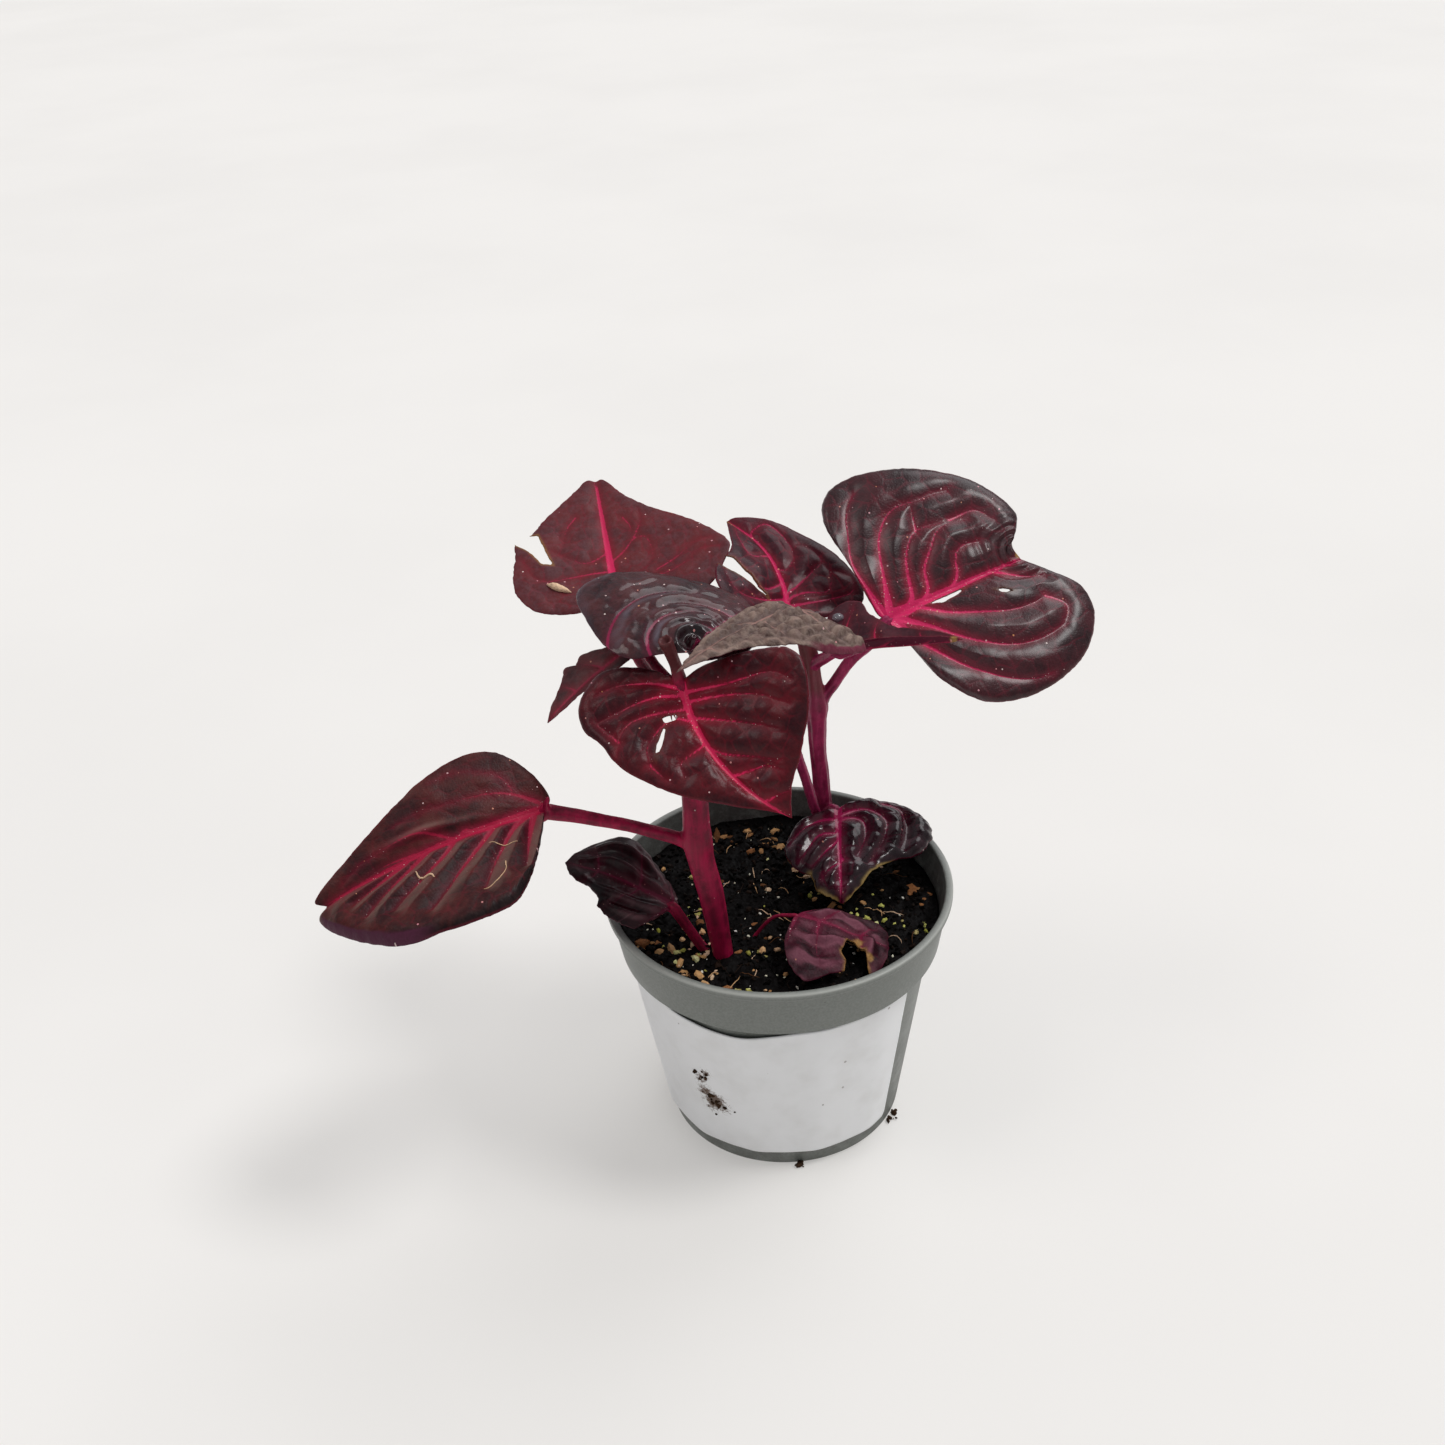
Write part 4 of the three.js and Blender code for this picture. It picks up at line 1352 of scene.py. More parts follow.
        for side, start, stop, width, drop in self.turned:
            band = self.stretch(side, start, stop, share, reach)
            height -= drop * band * np.maximum(1 - edge / width, 0) ** 2
        for x, y, pitch, size, fall in self.ripples:
            away = lengths(flat - (x, y))
            wobble = 0.5 * noise(flat, 3.0, self.seed + 5)
            height += size * np.sin(2 * math.pi * (away + wobble) / pitch) * bell(away, fall) * fade
        return height

    def stretch(self, side: float, start: float, stop: float, share: Array, reach: Array) -> Array:
        """One along a stretch of one margin, with soft ends, and nought elsewhere."""
        along = smoothstep(start, start + 0.06, share) * (1 - smoothstep(stop - 0.06, stop, share))
        return np.where(np.sign(reach) == side, along, 0.0)

    def lean(self, flat: Array, height: Array, rows: int, columns: int) -> Array:
        """How steeply the surface falls toward the side of its painted light, less in the deep rings.

        The slope of the height comes from its change, and the places' change, along the grid's rows
        and columns: two equations for each point, solved by their determinant.

        Args:
            flat: Places on the flattened blade.
            height: Height at each place.
            rows: Rows of the grid.
            columns: Columns of the grid.

        Returns:
            The steepness, held between -1.5 and 1.5.
        """
        down, across = np.gradient(flat.reshape(rows, columns, 2), axis=(0, 1))
        rise_down, rise_across = np.gradient(height.reshape(rows, columns))
        area = down[..., 0] * across[..., 1] - down[..., 1] * across[..., 0]
        area = np.where(np.abs(area) < 1e-5, 1e-5, area)
        slope_x = (rise_down * across[..., 1] - rise_across * down[..., 1]) / area
        slope_y = (rise_across * down[..., 0] - rise_down * across[..., 0]) / area
        fall = -slope_x * self.lit_flank_side[0] - slope_y * self.lit_flank_side[1]
        fall = fall.ravel()
        # Painted shade: the middles of the deep rings are pushed far toward the shaded side, so they are
        # drawn near black.
        for x, y, _, size, reach in self.ripples:
            fall -= max(size - 0.5, 0) * 9 * bell(lengths(flat - (x, y)), 0.75 * reach)
        return np.clip(fall, -1.5, 1.5)

    def dryness(self, flat: Array, share: Array, edge: Array, reach: Array) -> Array:
        """Share of dry brown tissue: round the tears, at named spots, and along named stretches of margin.

        Args:
            flat: Places on the flattened blade.
            share: Share of the way along the margin.
            edge: Distance to the margin.
            reach: Signed share of the way to the margin.

        Returns:
            The share at each place.
        """
        dry = np.zeros(len(flat))
        for cut in self.shape.cuts:
            depth, _ = outline_depth(flat, np.array(cut))
            dry = np.maximum(dry, self.cut_dry * bell(np.maximum(-depth, 0), 0.25))
        for x, y, radius in self.dry_spots:
            away = lengths(flat - (x, y)) + 0.3 * radius * noise(flat, 0.7, self.seed)
            dry = np.maximum(dry, 1 - smoothstep(0.6 * radius, radius, away))
        for side, start, stop in self.dry_margin:
            band = bell(edge, 0.3 + 0.28 * noise(flat, 1.1, self.seed + 2))
            dry = np.maximum(dry, band * self.stretch(side, start, stop, share, reach))
        return np.clip(dry, 0, 1)

    def skin(self) -> Skin:
        """The closed sheet: top, underside, and the walls along its margin and tears.

        Cells whose corners all lie in a tear are left out, and the corners that the rest keep inside
        it move to its outline. Every wall joins a free edge of the top to the same edge below.

        Returns:
            The sheet with its flat coordinates and named values.
        """
        places, reach, edge = self.grid()
        rows, columns = places.shape[:2]
        flat = places.reshape(-1, 2)
        share = np.repeat(self.shares, columns)
        reach, edge = reach.ravel(), edge.ravel()
        index = np.arange(rows * columns).reshape(rows, columns)
        index[0, :] = index[0, 0]
        index[-1, :] = index[-1, 0]
        cells = np.column_stack([index[:-1, :-1].ravel(), index[1:, :-1].ravel(), index[1:, 1:].ravel(),
                                 index[:-1, 1:].ravel()])
        for cut in self.shape.cuts:
            wobble = 0.12 * np.column_stack([noise(flat, 0.9, self.seed + more, 2) for more in (20, 21)])
            depth, nearest = outline_depth(flat + wobble, np.array(cut))
            cells = cells[~np.all(depth[cells] > 0, axis=1)]
            flat = np.where((depth > 0)[:, None], nearest - wobble, flat)
        vein, groove, middle, fade = self.vein_field(flat)
        warp = np.column_stack([noise(flat, 2.4, self.seed + more) for more in (8, 9)])
        net = cell_gap(flat + 0.5 * warp, self.net_size, self.seed + 4)
        height = self.relief(flat, reach, edge, groove, net, share)
        inner = 1 - np.exp(-edge / 1.0)
        thick = self.margin_thickness + (self.middle_thickness - self.margin_thickness) * inner
        rib = 0.5 * bell(middle, 0.5) * (1 - 0.8 * flat[:, 0] / self.shape.length())
        ridges = 0.16 * bell(groove, 0.35)
        top = self.shape.place(flat, height + thick / 2)
        self.surface = (flat, top)
        under = self.shape.place(flat, height - thick / 2 - (np.maximum(rib, 0) + ridges) * inner)
        count = len(flat)
        triangles = np.vstack([cells[:, [0, 1, 2]], cells[:, [0, 2, 3]]])
        distinct = ((triangles[:, 0] != triangles[:, 1]) & (triangles[:, 1] != triangles[:, 2])
                    & (triangles[:, 2] != triangles[:, 0]))
        triangles = triangles[distinct]
        edges = np.vstack([triangles[:, [0, 1]], triangles[:, [1, 2]], triangles[:, [2, 0]]])
        keys = edges[:, 0].astype(np.int64) * count + edges[:, 1]
        back = edges[:, 1].astype(np.int64) * count + edges[:, 0]
        free = edges[~np.isin(keys, back)]
        walls = np.column_stack([free[:, 1], free[:, 0], free[:, 0] + count, free[:, 1] + count])
        values = {"vein": vein, "fade": fade, "net": net, "edge": edge,
                  "lean": self.lean(flat, height, rows, columns),
                  "dry": self.dryness(flat, share, edge, reach)}
        values = {label: np.tile(value, 2) for label, value in values.items()}
        rolled = np.zeros(count)
        for side, start, stop, width, _ in self.turned:
            band = self.stretch(side, start, stop, share, reach) * (1 - smoothstep(0.75 * width, width, edge))
            rolled = np.maximum(rolled, band)
        values["under"] = np.concatenate([rolled, np.ones(count)])
        used = np.zeros(2 * count, bool)
        used[triangles.ravel()] = True
        used[triangles.ravel() + count] = True
        renumber = np.cumsum(used) - 1
        faces = [renumber[triangles], renumber[triangles[:, ::-1] + count], renumber[walls]]
        values = {label: value[used] for label, value in values.items()}
        return Skin(np.vstack([top, under])[used], faces, np.vstack([flat, flat])[used], values).outward()

    def on_top(self, spots: Array, lift: float = 0.0) -> Array:
        """Points of the made blade's upper surface.

        Each is the mean of the four nearest points of the sheet, weighted by one over the distance.

        Args:
            spots: Places on the flattened blade.
            lift: Height added along Z.

        Returns:
            The points, one row each.
        """
        flat, top = self.surface
        away = lengths(flat[None] - np.asarray(spots, float)[:, None])
        near = np.argsort(away, axis=1)[:, :4]
        weight = 1 / (np.take_along_axis(away, near, 1) + 0.02)
        points = np.einsum("ij,ijk->ik", weight, top[near]) / weight.sum(axis=1, keepdims=True)
        return points + (0, 0, lift)

    def made(self, groups: Groups) -> Object:
        """The blade as a placed piece that stands for its node.

        Args:
            groups: The shared node groups.

        Returns:
            The placed piece.
        """
        piece = self.skin().build(self.name + "_blade")
        return place(piece, self.finish.material(groups), self.slot, self.name)


@dataclass(frozen=True)
class Shoot:
    """One stem or leaf stalk: its middle points, and its radius at each."""

    line: tuple[Place, ...]
    radii: tuple[float, ...]
    into: str = ""

    def course(self, step: float) -> tuple[Array, Array]:
        """Fine middle points at about one step, and the radius at each, on smooth curves.

        Args:
            step: Distance between points.

        Returns:
            The points and their radii.
        """
        shares = np.linspace(0, 1, 400)
        fine = spline(self.line, shares)
        run = np.concatenate([[0], np.cumsum(lengths(np.diff(fine, axis=0)))])
        even = np.interp(np.linspace(0, run[-1], max(int(run[-1] / step), 6)), run, shares)
        knots = np.linspace(0, 1, len(self.radii))
        radii = spline(np.column_stack([knots, self.radii]), even)[:, 1]
        return spline(self.line, even), radii


@dataclass
class Stem:
    """A stem with its leaf stalks, joined as one skin.

    Every shoot is a tube, the tubes are joined by a fine voxel skin that is then smoothed, and the
    joined skin gets lengthwise ridges, nodes and colour values from the nearest shoot.
    """

    name: str
    stem: Shoot
    stalks: tuple[Shoot, ...]
    finish: StemFinish
    slot: str
    seed: int
    ribs: int = 5
    rib_height: float = 0.07
    brown_from: float = 84.0
    brown_full: float = 96.0
    brown_share: float = 1.0
    tip_hollow: float = 1.2
    collars: Rows = ()
    voxel: float = 0.24
    step: float = 0.5
    sides: int = 28
    runner: float = 7.0

    def shoots(self) -> list[tuple[Array, Array]]:
        """Courses of the stem and stalks, each stalk carried on under its blade's midrib.

        Under a blade the stalk's middle lies below the midrib by the stalk's radius, which falls
        along the runner to a fine point.

        Returns:
            Points and radii of each.
        """
        courses = [self.stem.course(self.step)]
        for stalk in self.stalks:
            line, radii = stalk.course(self.step)
            if stalk.into:
                blade = BLADES[stalk.into]
                along = np.arange(0.6, self.runner, self.step)
                width = radii[-1] * (1 - along / self.runner) ** 0.8 * 0.8 + 0.12
                flat = np.column_stack([along, blade.midrib(along)])
                line = np.vstack([line, blade.place(flat, -width * 0.85 - 0.1)])
                radii = np.concatenate([radii, width])
            courses.append((line, radii))
        return courses

    def made(self, groups: Groups) -> Object:
        """The joined stem as a placed piece that stands for its node.

        Args:
            groups: The shared node groups.

        Returns:
            The placed piece.
        """
        courses = self.shoots()
        piece = joined([tube(*course, self.sides) for course in courses]).build(self.name + "_skin")
        remesh = piece.modifiers.new("joined", "REMESH")
        remesh.mode = "VOXEL"
        remesh.voxel_size = self.voxel * METRES
        remesh.use_smooth_shade = True
        soften = piece.modifiers.new("softened", "SMOOTH")
        soften.factor = 0.5
        soften.iterations = 6
        finished(piece)
        self.dress(piece, courses)
        return place(piece, self.finish.material(groups), self.slot, self.name)

    def dress(self, piece: Object, courses: list[tuple[Array, Array]]) -> None:
        """Ridges, collars at the nodes, and the values that colour the skin.

        The angle about the nearest shoot drives the ridges as a cosine, and a collar swells the skin
        by a bell curve of the distance to a node. The stem's dry tip is drawn in by a bell curve of
        the distance to its axis.

        Args:
            piece: The joined skin.
            courses: Middle points and radii of the shoots.
        """
        points = vectors(piece.data.vertices, "co") / METRES
        normals = vectors(piece.data.vertex_normals, "vector")
        best = np.full(len(points), np.inf)
        angle = np.zeros(len(points))
        size = np.ones(len(points))
        main = np.zeros(len(points))
        for number, (line, radii) in enumerate(courses):
            tangents = unit(np.gradient(line, axis=0))
            nearest = np.zeros(len(points), int)
            gap = np.full(len(points), np.inf)
            for index, centre in enumerate(line):
                away = lengths(points - centre) - radii[index]
                nearer = away < gap
                gap = np.where(nearer, away, gap)
                nearest = np.where(nearer, index, nearest)
            side = unit(np.cross(tangents, (0.2, -0.94, 0.28)))
            other = np.cross(tangents, side)
            offset = points - line[nearest]
            turn = np.arctan2(np.sum(offset * other[nearest], axis=1), np.sum(offset * side[nearest], axis=1))
            nearer = gap < best
            best = np.where(nearer, gap, best)
            angle = np.where(nearer, turn, angle)
            size = np.where(nearer, radii[nearest], size)
            main = np.where(nearer, float(number == 0), main)
        wander = 0.35 * noise(points * (1, 1, 0.25), 3.0, self.seed)
        ridge = 0.5 + 0.5 * np.cos(self.ribs * (angle + wander))
        swell = self.rib_height * np.minimum(size, 1.6) * (ridge - 0.5)
        swell += 0.05 * noise(points, 1.6, self.seed + 1, 2)
        for *spot, height in self.collars:
            swell += height * bell(np.maximum(lengths(points - spot) - 1.6, 0), 1.1)
        points = points + swell[:, None] * normals
        line, radii = courses[0]
        axis = unit(line[-1] - line[-2])
        above = (points - line[-1]) @ axis
        aside = lengths(points - line[-1] - above[:, None] * axis)
        hollow = self.tip_hollow * bell(aside, 0.55 * radii[-1]) * (above > -0.8 * radii[-1])
        hollowed = (points - hollow[:, None] * axis) * METRES
        piece.data.vertices.foreach_set("co", hollowed.astype(np.float32).ravel())
        piece.data.update()
        high = points[:, 2] + 1.5 * noise(points, 4.0, self.seed + 2, 2)
        brown = self.brown_share * smoothstep(self.brown_from, self.brown_full, high) * main
        for *spot, _ in self.collars:
            brown = np.maximum(brown, 0.2 * bell(lengths(points - spot) - 2.3, 0.5))
        # The ridge value also paints highlights on the ribs' crests in the stem's material.
        set_value(piece, "ridge", ridge)
        set_value(piece, "brown", np.clip(brown, 0, 1))


@dataclass(frozen=True)
class PotSizes:
    """Driving sizes of the pot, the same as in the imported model."""

    height: float = 46.0
    rim_radius: float = 30.0
    rim_width: float = 1.3
    foot_radius: float = 20.8
    neck_radius: float = 26.3
    collar_radius: float = 27.9
    collar_bottom: float = 36.2
    wall: float = 0.9
    floor_top: float = 1.8
    recess: float = 0.8
    recess_inner: float = 7.5
    recess_outer: float = 17.5
    edge: float = 0.35
    soil_top: float = 41.0

    def wall_radius(self, height: Array | float) -> Array | float:
        """Outer radius of the tapered wall at a height."""
        return self.foot_radius + (self.neck_radius - self.foot_radius) * height / self.collar_bottom

    def inner_radius(self, height: float) -> float:
        """Inner radius in the lower wall or in the collar at a height.

        Args:
            height: Height above the base.

        Returns:
            The radius.
        """
        if height <= self.collar_bottom - self.wall:
            return self.wall_radius(height) - self.wall
        share = max((height - self.collar_bottom) / (self.height - self.collar_bottom), 0)
        return self.collar_radius + (self.rim_radius - self.edge - self.collar_radius) * share - self.wall


@dataclass
class Pot:
    """The moulded pot: a tapered shell with a stepped collar, a flat lip and six drain holes."""

    sizes: PotSizes
    finish: PotFinish
    sides: int = 288
    fine: int = 5
    drain_count: int = 6
    drain_radius: float = 2.4
    drain_ring: float = 12.5
    corner: float = 0.32
    sharp: float = 40.0

    def profile(self) -> Array:
        """Radius and height pairs from the middle of the base, over the lip, to the floor's middle.

        Each corner is rounded by a parabola between two places a short way from it.

        Returns:
            The pairs, one row each.
        """
        size = self.sizes
        inner_step = size.collar_bottom - size.wall
        corners = [
            (0, 0), (size.recess_inner, 0), (size.recess_inner + size.edge, size.recess),
            (size.recess_outer - size.edge, size.recess), (size.recess_outer, 0),
            (size.foot_radius, 0), (size.neck_radius, size.collar_bottom),
            (size.collar_radius, size.collar_bottom), (size.rim_radius - 0.75, size.height - 1.5),
            (size.rim_radius, size.height - 1.1), (size.rim_radius, size.height),
            (size.rim_radius - size.rim_width, size.height),
            (size.inner_radius(size.height - 1), size.height - 1.0),
            (size.inner_radius(size.collar_bottom + size.wall), size.collar_bottom + size.wall),
            (size.inner_radius(inner_step), inner_step), (size.inner_radius(size.floor_top), size.floor_top),
            (0, size.floor_top),
        ]
        corners = np.array(corners, float)
        rounded = [corners[0]]
        for before, here, after in zip(corners[:-2], corners[1:-1], corners[2:]):
            radius = min(self.corner, 0.4 * lengths(here - before), 0.4 * lengths(after - here))
            start = here + radius * unit(before - here)
            end = here + radius * unit(after - here)
            shares = np.linspace(0, 1, self.fine)[:, None]
            rounded.extend((1 - shares) ** 2 * start + 2 * shares * (1 - shares) * here + shares**2 * end)
        rounded.append(corners[-1])
        return np.array(rounded)

    def made(self, groups: Groups) -> Object:
        """The pot as a placed piece, its drain holes cut through the floor.

        Args:
            groups: The shared node groups.

        Returns:
            The placed piece.
        """
        piece = revolve(self.profile(), self.sides).build("pot_shell")
        drills = []
        for angle in 2 * math.pi * np.arange(self.drain_count) / self.drain_count:
            centre = self.drain_ring * np.array([math.cos(angle), math.sin(angle)])
            line = np.array([[*centre, height] for height in (-3.0, 0.0, 3.0, 4.0)])
            drills.append(tube(line, np.full(4, self.drain_radius), 40))
        cutter = joined(drills).build("drain_drills")
        cut = piece.modifiers.new("drains", "BOOLEAN")
        cut.operation = "DIFFERENCE"
        cut.solver = "EXACT"
        cut.object = cutter
        finished(piece)
        bpy.data.objects.remove(cutter)
        piece.data.shade_smooth()
        piece.data.set_sharp_from_angle(angle=math.radians(self.sharp))
        points = vectors(piece.data.vertices, "co") / METRES
        radius = np.hypot(points[:, 0], points[:, 1])
        height = points[:, 2]
        inner = np.array([self.sizes.inner_radius(value) for value in height.tolist()])
        tapered = self.sizes.wall_radius(height) - self.sizes.wall
        inner = np.where(height < self.sizes.collar_bottom + 0.4, tapered, inner)
        inside = radius < inner + 0.25
        low = 1 - smoothstep(self.sizes.soil_top + 0.5, self.sizes.height - 0.6, height)
        soiled = np.where(inside & (height > 3), 0.35 + 0.65 * low, 0.0)
        soiled = np.maximum(soiled, 0.35 * (1 - smoothstep(0.0, 1.6, height)))
        set_value(piece, "soiled", soiled)
        # Painted highlight along the top of the lip's outer edge, carried by the lip value.
        lip = smoothstep(self.sizes.height - 0.45, self.sizes.height - 0.1, height)
        set_value(piece, "lip", lip * smoothstep(-0.75, -0.15, radius - self.sizes.rim_radius))
        return place(piece, self.finish.material(groups), "pot_plastic", "pot")


@dataclass
class Label:
    """A bare paper label round the lower wall, just clear of it, with a smear of soil."""

    sizes: PotSizes
    finish: PaperFinish
    left: float = -100.0
    right: float = 50.5
    bottom: float = 3.6
    top: float = 35.2
    thickness: float = 0.16
    clearance: float = 0.32
    columns: int = 190
    rows: int = 56
    dip: float = 1.7
    corner: float = 1.2
    corner_share: float = 0.012
    facets: float = 13.0
    facet_depth: float = 0.22
    smears: Rows = (
        (-33.2, 14.6, 2.6, 0.95), (-37.0, 16.4, 2.0, 0.8), (-38.5, 19.5, 1.6, 0.72), (-35.5, 21.4, 1.3, 0.68),
        (-29.5, 13.2, 1.6, 0.66), (-36.0, 12.6, 1.5, 0.66))

    def made(self, groups: Groups) -> Object:
        """The label as a placed piece.

        Its points follow the wall's cone. Flat facets, a cosine of the angle, and low soft waves
        stand it off a little, its top edge dips by a sine of the angle, and its corners are rounded
        by drawing its ends in.

        Args:
            groups: The shared node groups.

        Returns:
            The placed piece.
        """
        size = self.sizes
        angle = np.radians(np.linspace(self.left, self.right, self.columns))
        share = np.linspace(0, 1, self.rows)
        angles, shares = np.meshgrid(angle, share)
        arc = np.linspace(0, 1, self.columns)[None, :]
        top = self.top - self.dip * np.sin(math.pi * np.clip((arc - 0.3) / 0.42, 0, 1)) ** 2
        ends = [np.maximum(0, 1 - away / self.corner_share) ** 2 for away in (arc, 1 - arc)]
        corner = self.corner * (ends[0] + ends[1])
        bottom = self.bottom + corner
        top = top - corner
        heights = bottom + (top - bottom) * shares
        flat = np.column_stack([(angles * size.neck_radius).ravel(), heights.ravel()])
        wave = 0.07 * noise(flat, 9.0, 41, 2) + 0.025 * noise(flat, 2.5, 43)
        wave += self.facet_depth * (0.5 - 0.5 * np.cos(self.facets * angles.ravel() + 0.6)) ** 2
        points = []
        for out in (self.thickness, 0.0):
            radius = size.wall_radius(heights.ravel()) + self.clearance + out + wave
            points.append(around(radius, angles.ravel(), flat[:, 1]))
        count = len(flat)
        outer = grid_faces(self.rows, self.columns)
        index = np.arange(count).reshape(self.rows, self.columns)
        ring = np.concatenate([index[0], index[1:, -1], index[-1, -2::-1], index[-2:0:-1, 0]])
        after = np.roll(ring, -1)
        walls = np.column_stack([after, ring, ring + count, after + count])
        smear = np.zeros(count)
        degrees = np.degrees(flat[:, 0] / size.neck_radius)
        for turn, height, radius, strength in self.smears:
            across = np.radians(degrees - turn) * size.wall_radius(height)
            smear = np.maximum(smear, strength * bell(np.hypot(across, flat[:, 1] - height), radius))
        skin = Skin(np.vstack(points), [outer, outer[:, ::-1] + count, walls], np.vstack([flat, flat]),
                    {"smear": np.tile(smear, 2)})
        piece = skin.outward().build("label_sheet")
        return place(piece, self.finish.material(groups), "label_paper", "label")


class Bit(Enum):
    """Kinds of bit in the peat: the lowest and highest tone, size range and flatness of each."""

    CRUMB = (0.0, 0.4, 0.3, 1.3, 0.8)
    BARK = (0.48, 0.66, 0.9, 2.8, 0.45)
    CHIP = (0.6, 0.76, 0.6, 1.7, 0.6)
    FLAKE = (0.79, 0.93, 0.6, 1.9, 0.65)
    PERLITE = (0.96, 1.0, 0.2, 0.6, 0.9)


def crooked_stones(kind: Bit, places: Array, random: np.random.Generator) -> Skin:
    """Small crooked stones: an icosahedron each, stretched, turned and dented.

    Args:
        kind: What they are.
        places: The points that they lie on.
        random: Source of their sizes and turns.

    Returns:
        All of them as one skin.
    """
    low, high, small, large, flatness = kind.value
    golden = (1 + math.sqrt(5)) / 2
    corners = np.array([(-1, golden, 0), (1, golden, 0), (-1, -golden, 0), (1, -golden, 0), (0, -1, golden),
                        (0, 1, golden), (0, -1, -golden), (0, 1, -golden), (golden, 0, -1), (golden, 0, 1),
                        (-golden, 0, -1), (-golden, 0, 1)])
    faces = np.array([(0, 11, 5), (0, 5, 1), (0, 1, 7), (0, 7, 10), (0, 10, 11), (1, 5, 9), (5, 11, 4),
                      (11, 10, 2), (10, 7, 6), (7, 1, 8), (3, 9, 4), (3, 4, 2), (3, 2, 6), (3, 6, 8),
                      (3, 8, 9), (4, 9, 5), (2, 4, 11), (6, 2, 10), (8, 6, 7), (9, 8, 1)])
    count, sides = len(places), len(corners)
    size = small + (large - small) * random.random(count) ** 2.2
    stretch = np.column_stack([1 + 0.5 * random.random(count), 0.6 + 0.4 * random.random(count),
                               flatness * (0.8 + 0.4 * random.random(count))])
    dents = 0.75 + 0.5 * random.random((count, sides, 1))
    local = unit(corners)[None] * dents * stretch[:, None] * (size / 2)[:, None, None]
    turn, lean = 2 * math.pi * random.random(count), 1.1 * (random.random(count) - 0.5)
    x = local[..., 0] * np.cos(lean)[:, None] + local[..., 2] * np.sin(lean)[:, None]
    z = -local[..., 0] * np.sin(lean)[:, None] + local[..., 2] * np.cos(lean)[:, None]
    y = local[..., 1]
    points = np.stack([x * np.cos(turn)[:, None] - y * np.sin(turn)[:, None] + places[:, :1],
                       x * np.sin(turn)[:, None] + y * np.cos(turn)[:, None] + places[:, 1:2],
                       z + places[:, 2:] + 0.16 * (size * flatness)[:, None]], axis=2).reshape(-1, 3)
    tone = np.repeat(low + (high - low) * random.random(count), sides)
    shifted = (faces[None] + sides * np.arange(count)[:, None, None]).reshape(-1, 3)
    return Skin(points, [shifted], None, {"tone": tone}).outward()


